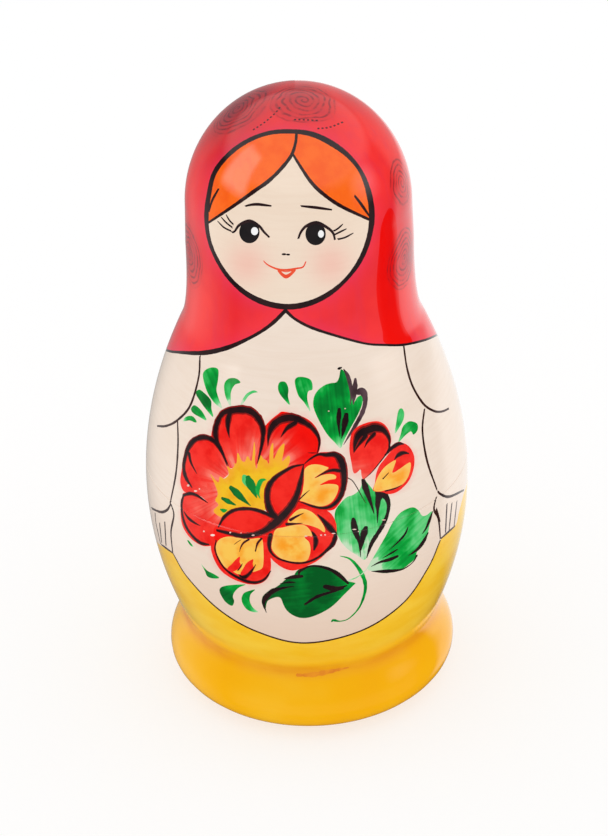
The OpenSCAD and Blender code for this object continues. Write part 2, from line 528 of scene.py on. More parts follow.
# Dark green that shows beside the dark strokes, as a share of their widths
LEAF_FRINGE_SHARE = 1.22
LEAF_STROKES = [
    ("ink", BUD_SHEET, [(418, 100, 6), (440, 95, 26), (470, 82, 8)]),
    ("ash", BUD_SHEET, [(490, 105, 12), (535, 180, 46), (565, 290, 44), (575, 400, 26), (562, 500, 6)]),
    ("ash", BUD_SHEET, [(620, 215, 30), (616, 300, 62), (606, 400, 50), (596, 500, 8)]),
    ("ash", BUD_SHEET, [(650, 360, 60), (698, 350, 86), (726, 405, 70), (728, 490, 54), (698, 590, 52),
                        (640, 700, 46), (560, 830, 28), (488, 950, 6)]),
    ("ink", BUD_SHEET, [(440, 550, 30), (436, 620, 50), (432, 720, 28), (446, 860, 5)]),
    ("ink", BUD_SHEET, [(520, 608, 40), (506, 690, 64), (490, 770, 44), (466, 880, 5)]),
    ("ink", LEAF_SHEET, [(398, 118, 34), (424, 200, 62), (462, 310, 48), (500, 420, 30), (532, 530, 6)]),
    ("ink", LEAF_SHEET, [(570, 272, 60), (640, 285, 80), (690, 350, 50), (708, 430, 42), (690, 540, 42),
                         (640, 660, 52), (580, 760, 50), (500, 890, 44), (442, 1060, 8)]),
    ("ink", LEAF_SHEET, [(600, 300, 100), (578, 380, 64), (575, 500, 30), (572, 640, 6)]),
    ("ink", LEAF_SHEET, [(280, 590, 36), (292, 680, 66), (318, 770, 58), (352, 870, 28), (370, 1050, 6)]),
    ("ink", LEAF_SHEET, [(432, 695, 44), (412, 760, 80), (392, 840, 58), (374, 970, 8)]),
    ("ink", LEAF_SHEET, [(1242, 488, 10), (1202, 600, 46), (1160, 700, 34), (1108, 775, 6)]),
    ("ink", LEAF_SHEET, [(1182, 758, 20), (1130, 860, 58), (1070, 940, 54), (1010, 990, 34),
                         (945, 1032, 5)]),
    ("ink", LEAF_SHEET, [(1044, 1035, 34), (1000, 1112, 14), (900, 1185, 18), (800, 1212, 32),
                         (650, 1222, 40), (500, 1222, 6)]),
    ("ink", LEAF_SHEET, [(942, 678, 8), (912, 760, 28), (840, 850, 24), (715, 965, 5)]),
    ("ink", LEAF_SHEET, [(812, 958, 16), (740, 1002, 24), (630, 1065, 5)]),
    ("ink", LEAF_SHEET, [(815, 1040, 30), (720, 1080, 44), (600, 1112, 26), (495, 1165, 5)]),
    ("brown", LEAF_SHEET, [(212, 95, 14), (270, 130, 12), (330, 220, 12), (390, 330, 10), (432, 400, 6)]),
    ("ink", FOOT_SHEET, [(1335, 335, 16), (1255, 262, 34), (1180, 215, 28), (1080, 186, 20),
                         (1000, 186, 16), (915, 225, 24), (905, 262, 8)]),
    ("ink", FOOT_SHEET, [(930, 272, 30), (850, 280, 36), (775, 296, 5)]),
    ("ink", FOOT_SHEET, [(880, 325, 5), (820, 325, 18), (742, 336, 5)]),
    ("ink", FOOT_SHEET, [(870, 358, 5), (760, 376, 24), (680, 402, 44), (620, 455, 44), (597, 510, 24),
                         (622, 590, 4)]),
    ("ink", FOOT_SHEET, [(1325, 352, 10), (1230, 382, 50), (1135, 362, 40)]),
    ("ink", FOOT_SHEET, [(1290, 380, 14), (1180, 412, 24), (1060, 452, 34), (960, 516, 18)]),
]
STEMS = [
    (0.5, FOOT_SHEET([(1258, 95, 5), (1350, 122, 18), (1430, 210, 32), (1480, 320, 34), (1478, 420, 28),
                      (1430, 545, 20), (1340, 640, 14), (1262, 664, 14), (1205, 655, 34),
                      (1190, 672, 6)])),
    (0.95, LEAF_SHEET([(232, 1330, 24), (330, 1290, 14), (430, 1212, 12), (500, 1090, 5)])),
]
# Dabs of grass: lightness, then the outline
GRASS = [
    (WHOLE_SHEET, 0.5, [(252, 228), (258, 195), (292, 178), (324, 188), (323, 240), (316, 285),
                        (328, 330), (342, 372), (305, 345), (272, 295)]),
    (WHOLE_SHEET, 0.28, [(217, 300), (234, 283), (262, 303), (290, 335), (292, 372), (300, 414),
                         (262, 372), (234, 332)]),
    (WHOLE_SHEET, 0.3, [(194, 376), (210, 357), (236, 374), (256, 400), (268, 430), (236, 414),
                        (206, 396)]),
    (WHOLE_SHEET, 0.45, [(156, 434), (172, 412), (202, 410), (222, 434), (214, 440), (188, 430)]),
    (WHOLE_SHEET, 0.58, [(352, 262), (372, 232), (408, 230), (430, 250), (402, 262), (384, 300),
                         (384, 362), (360, 320)]),
    (WHOLE_SHEET, 0.6, [(512, 296), (492, 287), (460, 302), (438, 334), (428, 364), (446, 344),
                        (468, 314), (490, 300)]),
    (WHOLE_SHEET, 0.4, [(608, 268), (618, 247), (644, 248), (658, 280), (656, 316), (664, 356),
                        (630, 322), (612, 294)]),
    (WHOLE_SHEET, 0.45, [(688, 250), (698, 226), (732, 224), (766, 240), (772, 282), (752, 292),
                         (748, 332), (762, 388), (732, 344), (704, 310)]),
    (WHOLE_SHEET, 0.7, [(1180, 385), (1196, 372), (1208, 396), (1200, 436), (1164, 492), (1170, 440)]),
    (WHOLE_SHEET, 0.6, [(1202, 458), (1232, 434), (1268, 444), (1272, 474), (1252, 498), (1240, 482),
                        (1212, 502), (1180, 534), (1192, 492)]),
    (WHOLE_SHEET, 0.4, [(176, 998), (188, 1004), (206, 1030), (190, 1022)]),
    (FOOT_SHEET, 0.35, [(52, 160), (70, 185), (110, 225), (160, 250), (212, 285), (165, 292), (110, 275),
                        (85, 225)]),
    (FOOT_SHEET, 0.28, [(212, 392), (240, 362), (320, 348), (440, 344), (385, 370), (345, 410),
                        (330, 450), (342, 490), (322, 530), (268, 498), (228, 440)]),
    (FOOT_SHEET, 0.4, [(405, 470), (425, 420), (470, 400), (525, 388), (485, 430), (478, 490), (505, 545),
                       (550, 585), (475, 575), (425, 530)]),
]

# Flower: red grounds of the petals, in the order in which they cover one another
RED_GROUNDS = [
    ("red", LEFT_SHEET, [(50, 1040), (60, 1005), (150, 1005), (240, 1045), (330, 1100), (430, 1100),
                         (480, 1260), (430, 1400), (450, 1500), (390, 1565), (280, 1580), (170, 1525),
                         (90, 1440), (40, 1330), (28, 1180)]),
    ("red", LEFT_SHEET, [(40, 750), (62, 640), (95, 530), (140, 440), (200, 395), (275, 380), (345, 395),
                         (410, 440), (470, 540), (530, 690), (545, 800), (440, 900), (430, 1080),
                         (330, 1100), (230, 1030), (130, 1010), (60, 985), (25, 890)]),
    ("red", LEFT_SHEET, [(360, 400), (385, 270), (430, 160), (490, 115), (540, 118), (610, 85), (690, 75),
                         (770, 92), (860, 155), (920, 230), (945, 330), (935, 450), (905, 600),
                         (865, 745), (760, 760), (600, 740), (540, 720), (470, 560), (420, 460)]),
    ("scarlet", HIGH_SHEET, [(40, 870), (95, 560), (120, 370), (200, 265), (300, 185), (350, 152),
                             (450, 165), (560, 195), (670, 240), (750, 300), (810, 380), (850, 480),
                             (855, 570), (835, 680), (760, 750), (660, 830), (430, 880), (200, 900)]),
    ("red", LOW_SHEET, [(1000, 300), (1060, 235), (1160, 245), (1260, 270), (1350, 280), (1420, 330),
                        (1465, 420), (1475, 520), (1460, 620), (1400, 710), (1330, 790), (1250, 855),
                        (1150, 905), (1050, 945), (970, 958), (880, 932), (800, 880), (735, 815),
                        (705, 740), (700, 640), (715, 540), (800, 450), (900, 400)]),
    ("scarlet", HIGH_SHEET, [(640, 840), (700, 790), (780, 740), (830, 690), (930, 680), (1050, 682),
                             (1135, 735), (1195, 820), (1215, 950), (1205, 1100), (1160, 1250),
                             (1090, 1370), (1010, 1440), (860, 1440), (700, 1400), (560, 1370),
                             (600, 1200), (630, 1000)]),
    ("red", LOW_SHEET, [(120, 600), (75, 640), (65, 700), (85, 790), (130, 890), (190, 970), (270, 1030),
                        (360, 1075), (480, 1110), (590, 1112), (670, 1075), (720, 1010), (740, 920),
                        (735, 800), (728, 680), (712, 550), (600, 570), (450, 590), (300, 560),
                        (200, 560)]),
    ("scarlet", LOW_SHEET, [(105, 480), (250, 420), (600, 440), (860, 330), (1000, 200), (1065, 240),
                            (985, 345), (905, 440), (800, 560), (700, 640), (560, 625), (400, 615),
                            (250, 605), (120, 630)]),
    ("red", BUD_SHEET, [(820, 1465), (838, 1380), (852, 1280), (885, 1190), (945, 1110), (1005, 1035),
                        (1070, 960), (1130, 928), (1200, 950), (1252, 1010), (1282, 1100), (1272, 1220),
                        (1225, 1345), (1150, 1432), (1080, 1482), (1000, 1502), (920, 1480)]),
    ("red", BUD_SHEET, [(560, 900), (580, 820), (640, 750), (720, 712), (800, 690), (880, 688),
                        (950, 725), (1000, 800), (1022, 900), (1000, 980), (950, 1070), (870, 1180),
                        (790, 1275), (715, 1335), (690, 1300), (678, 1225), (640, 1260), (600, 1265),
                        (575, 1150), (553, 1010)]),
]
HEART = np.concatenate([
    LEFT_SHEET([(480, 1265), (405, 1230), (385, 1190), (438, 1135), (402, 1085), (430, 1020), (405, 930),
                (350, 800), (400, 860), (438, 890), (452, 828), (500, 850), (548, 800), (530, 715),
                (575, 745), (612, 700), (560, 640), (628, 690), (645, 570), (685, 650), (722, 668),
                (752, 606), (792, 664), (806, 600), (824, 450), (836, 560), (832, 660), (850, 745)]),
    HIGH_SHEET([(48, 770), (76, 722), (112, 770), (152, 790), (182, 832), (196, 650), (236, 560),
                (240, 690), (246, 772), (310, 640), (382, 568), (372, 690), (356, 800), (440, 725),
                (456, 790), (420, 880), (300, 980)]),
    LEFT_SHEET([(985, 1000), (960, 1180), (860, 1180), (740, 1180), (610, 1200)]),
])
HEART_MIDDLE = (242.0, 488.0)
YELLOW_GROUNDS = [
    HIGH_SHEET([(645, 920), (690, 865), (760, 843), (850, 848), (930, 872), (962, 890), (900, 935),
                (820, 985), (775, 1025), (870, 985), (970, 968), (1040, 980), (1062, 1005), (1045, 1032),
                (960, 1048), (845, 1112), (950, 1098), (1040, 1102), (1085, 1120), (1088, 1170),
                (1060, 1250), (1000, 1335), (910, 1382), (820, 1388), (730, 1362), (640, 1330),
                (585, 1305), (620, 1200), (640, 1060)]),
    LOW_SHEET([(985, 325), (1050, 275), (1110, 270), (1190, 300), (1260, 360), (1320, 440), (1345, 500),
               (1335, 530), (1270, 488), (1180, 455), (1100, 440), (1000, 425), (925, 412)]),
    LOW_SHEET([(790, 500), (880, 475), (980, 452), (1090, 445), (1150, 475), (1190, 530), (1200, 570),
               (1130, 572), (1120, 595), (1165, 640), (1182, 720), (1170, 790), (1140, 845), (1050, 868),
               (940, 855), (840, 815), (770, 750), (745, 690), (758, 600)]),
    LOW_SHEET([(128, 660), (170, 605), (260, 578), (380, 590), (500, 605), (620, 595), (648, 640),
               (655, 750), (655, 850), (640, 930), (570, 965), (480, 985), (380, 1000), (300, 960),
               (220, 915), (160, 825), (125, 735)]),
    BUD_SHEET([(825, 1455), (858, 1340), (915, 1240), (985, 1170), (1072, 1122), (1055, 1190),
               (1035, 1265), (1115, 1222), (1195, 1165), (1238, 1150), (1236, 1225), (1208, 1315),
               (1150, 1390), (1060, 1432), (960, 1456), (890, 1472)]),
]
FLAMES = [
    LOW_SHEET([(250, 935), (300, 885), (345, 835), (392, 800), (388, 860), (405, 905), (360, 950),
               (300, 970)]),
    LOW_SHEET([(395, 1000), (430, 930), (470, 870), (540, 830), (535, 880), (545, 930), (520, 985),
               (450, 1020)]),
]
FOLDED = [
    HIGH_SHEET([(625, 850), (608, 980), (572, 1110), (512, 1240), (437, 1380), (350, 1510), (260, 1510),
                (215, 1400), (195, 1270), (220, 1140), (290, 1030), (390, 945), (490, 895)]),
    LOW_SHEET([(158, 478), (218, 364), (318, 292), (440, 270), (560, 284), (690, 324), (800, 380),
               (720, 450), (610, 515), (490, 560), (390, 560), (270, 530)]),
]
BUD_BASE = BUD_SHEET([(670, 1290), (615, 1240), (655, 1190), (720, 1280), (590, 1180)])
PALE_SPOTS = [(203, 503), (211, 498), (197, 508), (206, 491)]
# Stamens: lightness, then the stroke
STAMENS = [
    (0.62, LEFT_SHEET([(722, 836, 60), (716, 880, 50), (744, 935, 12)])),
    (0.12, LEFT_SHEET([(760, 845, 64), (780, 900, 104), (812, 970, 78), (852, 1060, 8)])),
    (0.12, LEFT_SHEET([(575, 952, 56), (630, 1002, 84), (700, 1070, 58), (785, 1145, 8)])),
    (0.15, LEFT_SHEET([(482, 1066, 36), (540, 1095, 58), (600, 1125, 30), (628, 1137, 8)])),
    (0.4, LEFT_SHEET([(462, 1185, 20), (490, 1196, 48), (532, 1190, 8)])),
    (0.36, LEFT_SHEET([(955, 858, 10), (902, 872, 44), (870, 930, 50), (862, 1000, 38), (888, 1065, 6)])),
]
# Dark strokes of the petals, with the widths of the wet brush; the dark paint takes a share of these,
# and beside it the ground shows through
INK_SHARE = 0.74
FRINGE_SHARE = 1.12
PETAL_STROKES = [
    LEFT_SHEET([(535, 720, 8), (480, 580, 30), (405, 460, 50), (330, 412, 56), (250, 405, 58),
                (170, 440, 60), (110, 520, 60), (78, 620, 52), (62, 720, 52), (82, 830, 58),
                (150, 945, 14)]),
    LEFT_SHEET([(118, 580, 44), (142, 680, 36), (205, 800, 6)]),
    LEFT_SHEET([(62, 1030, 30), (130, 1012, 40), (200, 1030, 36), (262, 1070, 26), (325, 1115, 6)]),
    LEFT_SHEET([(550, 720, 6), (480, 560, 26), (420, 440, 60), (405, 330, 76), (435, 220, 70),
                (490, 140, 60), (580, 115, 80), (690, 105, 90), (790, 125, 80), (870, 200, 76),
                (918, 310, 60), (915, 430, 44), (890, 560, 26), (858, 690, 5)]),
    LEFT_SHEET([(560, 140, 70), (540, 230, 62), (540, 310, 40), (556, 410, 5)]),
    LEFT_SHEET([(58, 1040, 26), (40, 1110, 34), (42, 1210, 36), (64, 1310, 44), (104, 1400, 46),
                (170, 1485, 46), (245, 1545, 44), (330, 1562, 20)]),
    LEFT_SHEET([(66, 1210, 16), (110, 1275, 38), (175, 1325, 28), (245, 1362, 5)]),
    HIGH_SHEET([(168, 610, 6), (180, 470, 46), (225, 350, 90), (310, 270, 110), (420, 235, 110),
                (530, 240, 100), (640, 290, 80), (740, 360, 60), (815, 455, 46), (842, 550, 34),
                (830, 640, 20), (808, 700, 8)]),
    HIGH_SHEET([(520, 300, 70), (430, 360, 56), (380, 420, 34), (335, 490, 5)]),
    HIGH_SHEET([(640, 840, 10), (720, 772, 24), (830, 712, 34), (930, 718, 50), (1040, 712, 70),
                (1115, 775, 100), (1150, 880, 100), (1165, 1000, 86), (1160, 1110, 74), (1130, 1230, 66),
                (1075, 1320, 56), (985, 1392, 44), (870, 1412, 36), (740, 1385, 30), (630, 1345, 20),
                (560, 1325, 6)]),
    HIGH_SHEET([(1110, 925, 50), (1010, 918, 44), (910, 950, 28), (790, 1018, 5)]),
    HIGH_SHEET([(580, 1300, 14), (640, 1240, 16), (715, 1175, 4)]),
    HIGH_SHEET([(812, 690, 6), (750, 692, 12), (690, 690, 4)]),
    HIGH_SHEET([(640, 842, 14), (500, 872, 34), (380, 935, 44), (260, 1020, 56), (185, 1120, 70),
                (160, 1230, 78), (168, 1350, 84), (215, 1470, 90), (300, 1560, 90)]),
    LOW_SHEET([(1104, -232, 8), (1092, -150, 28), (1074, -60, 44), (1060, 0, 52), (1040, 80, 60),
               (1000, 180, 80), (940, 270, 86), (860, 360, 96), (770, 440, 100), (670, 510, 76),
               (550, 555, 60), (420, 570, 58), (290, 545, 52), (140, 510, 34)]),
    LOW_SHEET([(150, 470, 14), (215, 360, 36), (315, 288, 40), (440, 266, 40), (560, 278, 40),
               (680, 318, 46), (800, 370, 60)]),
    LOW_SHEET([(735, 560, 50), (718, 650, 46), (732, 740, 30), (800, 812, 24), (900, 852, 24),
               (1000, 872, 26), (1100, 872, 26), (1200, 845, 28), (1290, 795, 30), (1360, 735, 36),
               (1425, 670, 50), (1455, 600, 52), (1462, 545, 30)]),
    LOW_SHEET([(1255, 325, 8), (1320, 390, 40), (1375, 455, 66), (1430, 515, 66), (1468, 535, 20)]),
    LOW_SHEET([(1190, 515, 8), (1228, 570, 40), (1242, 640, 54), (1222, 725, 20)]),
    LOW_SHEET([(955, 392, 30), (1030, 350, 22), (1105, 315, 5)]),
    LOW_SHEET([(915, 440, 34), (1000, 436, 22), (1095, 428, 5)]),
    LOW_SHEET([(125, 620, 14), (112, 720, 22), (150, 830, 24), (212, 925, 28), (290, 992, 34),
               (380, 1042, 44), (480, 1082, 44), (580, 1090, 36), (670, 1052, 28), (738, 960, 8)]),
    LOW_SHEET([(372, 1000, 10), (430, 1035, 50), (490, 1000, 40), (545, 930, 16), (568, 890, 5)]),
    LOW_SHEET([(420, 875, 4), (400, 915, 14), (365, 960, 10)]),
    LOW_SHEET([(490, 610, 22), (430, 650, 18), (398, 705, 12), (388, 748, 4)]),
    LOW_SHEET([(632, 600, 24), (588, 655, 20), (565, 740, 14)]),
    LOW_SHEET([(410, 610, 4), (360, 640, 7), (325, 668, 3)]),
    BUD_SHEET([(602, 1035, 8), (622, 920, 56), (668, 830, 96), (750, 790, 110), (850, 760, 96),
               (940, 790, 66), (998, 880, 38), (1000, 980, 22)]),
    BUD_SHEET([(735, 850, 60), (650, 960, 26), (600, 1045, 5)]),
    BUD_SHEET([(830, 830, 50), (760, 910, 30), (720, 985, 5)]),
    BUD_SHEET([(1005, 975, 24), (960, 1060, 16), (880, 1165, 12), (800, 1262, 9), (715, 1335, 4)]),
    BUD_SHEET([(955, 1065, 22), (1030, 985, 42), (1105, 940, 40), (1165, 942, 10)]),
    BUD_SHEET([(1060, 1112, 12), (1100, 1065, 50), (1160, 1040, 40), (1222, 1048, 10)]),
    BUD_SHEET([(955, 1468, 16), (1060, 1440, 16), (1145, 1398, 5)]),
    BUD_SHEET([(930, 1330, 14), (995, 1262, 8)]),
]
# Chips of the lacquer: middle, then half the width and height
CHIPS = [
    (LEFT_SHEET, (110, 925), 14, 12), (LEFT_SHEET, (190, 985), 18, 9), (LEFT_SHEET, (232, 962), 8, 7),
    (LEFT_SHEET, (280, 1420), 10, 10), (LEFT_SHEET, (375, 1462), 24, 12), (LEFT_SHEET,
                                                                           (565, 1433), 10, 9),
    (LEFT_SHEET, (812, 1462), 16, 7), (LOW_SHEET, (403, 537), 7, 5), (LOW_SHEET, (1132, 573), 18, 6),
    (LOW_SHEET, (1192, 576), 8, 6), (LOW_SHEET, (1300, 562), 11, 9), (LOW_SHEET, (1345, 559), 11, 8),
    (LOW_SHEET, (1440, 543), 22, 6), (LEAF_SHEET, (295, 717), 24, 7), (LEAF_SHEET, (342, 742), 10, 7),
    (LEAF_SHEET, (650, 603), 24, 6), (BUD_SHEET, (322, 573), 9, 7), (BUD_SHEET, (506, 544), 8, 7),
]

# Arms, sleeves and hands: thin brown lines
ARM_LINES = [
    [(200, 355), (198.5, 378), (190, 406), (177, 420.5), (166, 426), (157, 426)],
    [(177.5, 420.5), (178, 444), (176, 473), (170, 504)],
    [(151, 508), (160.5, 512), (167, 510), (171, 503.6)],
    [(171, 504), (173.8, 515), (171, 532), (172.7, 553)],
    [(155, 512), (156, 523), (160.5, 544)],
    [(159.5, 522), (161.6, 543)],
    [(164.7, 521), (166, 546)],
    [(160.5, 544), (172.7, 553)],
    [(403.6, 345), (407, 368), (413, 387), (423.6, 404), (434, 411), (442, 411.5), (449, 408.5)],
    [(424.6, 408), (422.5, 431), (427, 460.5), (437, 490)],
    [(437, 491), (442, 495), (450, 496.5), (464, 490)],
    [(436.6, 496), (434, 509), (438.5, 519), (440.4, 539)],
    [(436, 508), (440, 522)],
    [(447, 503), (445.5, 533)],
    [(452, 502), (449, 531)],
    [(457, 500), (454, 527)],
    [(440.4, 539), (455, 526)],
]
ARM_LINE_MM = 0.72

# Hem of the scarf, with the widths of its dark line
SCARF_LEFT = [(167, 350.5, 2.2), (175, 352, 2.6), (202, 353, 4.4), (225, 348.5, 4.4), (245.6, 340, 3.3),
              (262, 331, 3.2), (274, 322, 3.7), (285.5, 310.5, 3.4)]
SCARF_RIGHT = [(285.5, 310.5, 3.4), (295, 319, 2.8), (311, 327.5, 3.0), (335, 335.5, 2.6),
               (365, 343.5, 2.2), (385, 345, 2.2), (404, 344.7, 2.3), (425, 340, 2.2), (439, 334, 1.8)]
SCARF_BACK_Z = 84.0
# Stroke on the scarf where the dye lies twice
DEEP_BAND = HEAD_SHEET([(1084, 646), (1062, 688), (1048, 740), (1042, 820), (1034, 911), (1030, 1002),
                        (1038, 1093), (1056, 1180), (1072, 1236), (1184, 1234), (1150, 1160),
                        (1132, 1093), (1126, 1002), (1120, 911), (1120, 780), (1116, 700), (1102, 655)])
# Dark smudges on the scarf: middle in pixels, reach in millimetres, strength
SMUDGES = [((230, 112), 10.0, 1.0), ((303, 92), 8.0, 0.65), ((258, 94), 8.0, 0.65),
           ((207, 138), 6.0, 0.4), ((188, 252), 7.0, 0.45), ((345, 98), 6.0, 0.3), ((408, 200), 6.0, 0.3),
           ((410, 256), 6.0, 0.4)]
# Swirls on the scarf: middle in pixels or, behind, as angle and height; then the radius in millimetres
SWIRLS_SEEN = [((303, 100), 8.4), ((238, 108), 8.8), ((189, 254), 8.6), ((404, 258), 8.3),
               ((402, 182), 6.5)]
SWIRLS_BEHIND = [((150, 131), 11.0), ((-150, 131), 11.0), ((180, 108), 10.0)]
CROWN_DASHES = [[(253, 130), (265.5, 121.7), (276, 112.3), (280, 107)], [(294, 119.6), (307.4, 120),
                                                                         (320, 120.7)], [(317.4, 128.6),
                                                                                         (329.3, 127.4),
                                                                                         (343, 122.1)]]

# Face, with the widths of the dark ring round it
RING = [(651, 311, 21), (745, 322, 24), (831, 361, 27), (909, 419, 22), (966, 494, 20), (1000, 592, 29),
        (1010, 692, 30), (993, 790, 27), (955, 879, 24), (898, 955, 19), (827, 1016, 23), (743, 1058, 25),
        (651, 1075, 26), (558, 1062, 27), (471, 1023, 26), (398, 961, 24), (342, 882, 24), (303, 791, 27),
        (289, 692, 30), (299, 592, 30), (324, 492, 28), (386, 412, 25), (466, 354, 22), (557, 319, 20)]
PARTING = [(296.5, 133), (295.5, 143), (291, 156)]
HAIR_LEFT = [(291, 156), (280, 170), (268, 181.5), (256, 190), (233.5, 206), (208, 223)]
HAIR_RIGHT = [(292, 153), (302, 169), (311, 182), (322, 193), (340.6, 206), (371, 220.5)]
HAIR_STRANDS = [[(219, 188), (212, 201), (209, 212)], [(354, 195), (361, 204), (370, 217)]]
BROWS = [[(244.5, 206.5), (250, 205), (258, 204.4), (271.5, 206)], [(300, 206), (315, 207.5),
                                                                    (332, 209.8)]]
PUPILS = [((249.4, 232), 10.2, 11.3), ((315.6, 234), 10.2, 11.3)]
GLINTS = [((254.6, 231.2), 3.5, 4.0), ((321, 234), 2.9, 3.7)]
LIDS = [
    [(231, 232.5), (234.5, 231.5), (239.5, 225), (249.6, 221), (259, 226), (264, 232), (269.5, 237.5)],
    [(298, 239.5), (301, 232), (306.5, 226), (316.5, 222.6), (327, 227.5), (333, 233), (335, 240)],
]
LASHES = [
    [(232, 231.5), (224, 227.5), (217.4, 221)], [(233, 228), (226.5, 223), (221, 217)],
    [(234, 225), (229.5, 220.5), (226, 214.5)],
    [(333, 231.5), (338, 228.5), (343, 224)], [(334, 235), (340, 232), (346.7, 228.7)],
    [(337, 239.5), (345, 237.5), (353.5, 233)],
]
NOSTRILS = [((284, 254.3), 2.4, 1.1), ((288.2, 254.6), 2.0, 1.0)]
SMILE = [(263, 260.5), (268, 265), (277, 269), (286, 270), (297, 268.4), (303, 267), (306, 261.5)]
LIP_FILL = [(277.5, 270), (286, 271.3), (295.8, 269.6), (291.5, 275.5), (286, 278.6), (281, 275.5)]
LIP_LIGHT = [(281.5, 271.6), (286, 272.4), (291.5, 271.4), (286, 274.6)]
CHEEKS = [(247, 264), (331, 264)]
CHEEK_PX = 21.0
CHEEK_STRENGTH = 0.5
# Widths of the lines at their start, middle and end, in millimetres
LEFT_HAIR_MM = (0.6, 0.9, 0.55)
RIGHT_HAIR_MM = (0.5, 0.85, 0.6)
STRAND_MM = (0.5, 0.72, 0.35)
BROW_MM = (0.35, 0.66, 0.35)
LASH_MM = (0.48, 0.46, 0.2)
LID_MM = (0.42, 0.74, 0.46)
SMILE_MM = (0.25, 0.52, 0.25)
DASH_MM = (0.4, 0.4, 0.4)
DASH_PX = 2.2


# Painting, in the order in which the shapes cover one another

def paint_skirt():
    pixels = np.concatenate([smooth(SKIRT_LEFT)[:-1], smooth(APRON)[:-1], smooth(SKIRT_RIGHT)])
    front = np.stack(on_surface(pixels), 1)
    SHAPES.append(Shape("skirt", [loop_round(front, SKIRT_BACK_Z)], only="bottom"))
    SHAPES.append(Shape("wood", [ring_at(FOOT_R)], only="bottom"))
    line("brown", APRON, APRON_LINE_MM, APRON_LINE_MM, APRON_LINE_MM, rough=0.06)
    stroke("rust", RUST, rough=0.3, wear=True)


def paint_leaves():
    for sheet, light, points in GRASS:
        outline = smooth(sheet(points), closed=True)
        middle = outline.mean(0)
        tail = outline[np.hypot(*(outline - middle).T).argmax()]
        fill("leaf", outline, base=tail, tip=2 * middle - tail, light=light)
    for light, points in STEMS:
        stroke("leaf", points, light=light)
    for sheet, light, base, tip, points in LEAVES:
        base, tip = sheet([base, tip])
        fill("leaf", smooth(sheet(points), closed=True), base=base, tip=tip, light=light)
    for paint, sheet, points in LEAF_STROKES:
        if paint != "ink":
            stroke(paint, sheet(points))
    layered([sheet(points) for paint, sheet, points in LEAF_STROKES if paint == "ink"],
            [("pine", LEAF_FRINGE_SHARE), ("ink", 1.0)])
    fill("leaf", smooth(LEAF_GAP, closed=True), light=0.7)


def paint_flower():
    for paint, sheet, points in RED_GROUNDS:
        fill(paint, smooth(sheet(points), closed=True))
    fill("heart", smooth(HEART, closed=True))
    for points in YELLOW_GROUNDS:
        fill("yolk", smooth(points, closed=True))
    for points in FLAMES:
        fill("red", smooth(points, closed=True))
    for light, points in STAMENS:
        stroke("leaf", points, light=light)
    for points in FOLDED:
        fill("folded", smooth(points, closed=True))
    layered(PETAL_STROKES, [("wine", FRINGE_SHARE), ("ink", INK_SHARE)])


def paint_arms():
    for points in ARM_LINES:
        line("brown", points, 0.8 * ARM_LINE_MM, ARM_LINE_MM, 0.7 * ARM_LINE_MM, rough=0.08)


def paint_scarf():
    left = smooth(SCARF_LEFT)[:, :2]
    right = smooth(SCARF_RIGHT)[:, :2]
    front = np.stack(on_surface(np.concatenate([left[:-1], right])), 1)
    loop = loop_round(front, SCARF_BACK_Z)
    SHAPES.append(Shape("scarf", [loop], only="top"))
    fill("dye", smooth(DEEP_BAND, closed=True))
    behind = loop[len(front) - 1:]
    behind = np.concatenate([behind, front[:1] + (2 * math.pi, 0)])
    SHAPES.append(Shape("ink", [ribbon(behind, np.full(len(behind), SCARF_RIGHT[-1][2] / PX_PER_MM))]))
    stroke("ink", SCARF_LEFT, rough=0.05)
    stroke("ink", SCARF_RIGHT, rough=0.05)
    for points in CROWN_DASHES:
        spots = smooth(points, step=DASH_PX)
        for a, b in zip(spots[::2], spots[1::2]):
            line("soot", [a, b], *DASH_MM)


def paint_face():
    ring = HEAD_SHEET(RING)
    middle = smooth(ring, closed=True)[:, :2]
    parting = smooth(PARTING)
    left = [part_of(middle, HAIR_LEFT[-1], PARTING[0]), parting, smooth(HAIR_LEFT)[1:]]
    right = [part_of(middle, PARTING[0], HAIR_RIGHT[-1]), smooth(HAIR_RIGHT)[::-1], parting[::-1][1:]]
    fill("skin", middle, cut=False)
    fill("hair", np.concatenate(left), cut=False)
    fill("hair", np.concatenate(right), cut=False)
    closed_stroke("ink", ring)
    line("ink", PARTING + HAIR_LEFT[1:], *LEFT_HAIR_MM, rough=0.06)
    line("ink", HAIR_RIGHT, *RIGHT_HAIR_MM, rough=0.06)
    for points in HAIR_STRANDS:
        line("ink", points, *STRAND_MM)
    for points in BROWS:
        line("ink", points, *BROW_MM)
    for points in LASHES:
        line("ink", points, *LASH_MM)
    for pupil in PUPILS:
        fill("pupil", ellipse(*pupil))
    for glint in GLINTS:
        fill("white", ellipse(*glint, step=0.7))
    for points in LIDS:
        line("ink", points, *LID_MM)
    for nostril in NOSTRILS:
        fill("ink", ellipse(*nostril, step=0.6))
    fill("lips", smooth(LIP_FILL, closed=True, step=0.8))
    fill("skin", smooth(LIP_LIGHT, closed=True, step=0.8))
    line("lips", SMILE, *SMILE_MM)


def paint_chips():
    for sheet, middle, half_width, half_height in CHIPS:
        spot = sheet([middle])[0]
        fill("chip", ellipse(spot, half_width / sheet.zoom, half_height / sheet.zoom, step=0.8), wear=True)


paint_skirt()
paint_leaves()
paint_flower()
paint_arms()
paint_scarf()
paint_face()
paint_chips()

PAINTS = ["cream", "skirt", "wood", "leaf", "red", "scarlet", "heart", "yolk", "ink", "ash", "brown",
          "scarf", "skin", "hair", "pupil", "white", "lips", "soot", "chip", "rust", "dye", "folded",
          "wine", "pine"]


# Materials

def colour(r, g, b):
    """Linear colour of an 8-bit one."""

    def linear(c):
        return ((c / 255 + 0.055) / 1.055) ** 2.4 if c > 10 else c / 255 / 12.92

    return linear(r), linear(g), linear(b), 1.0


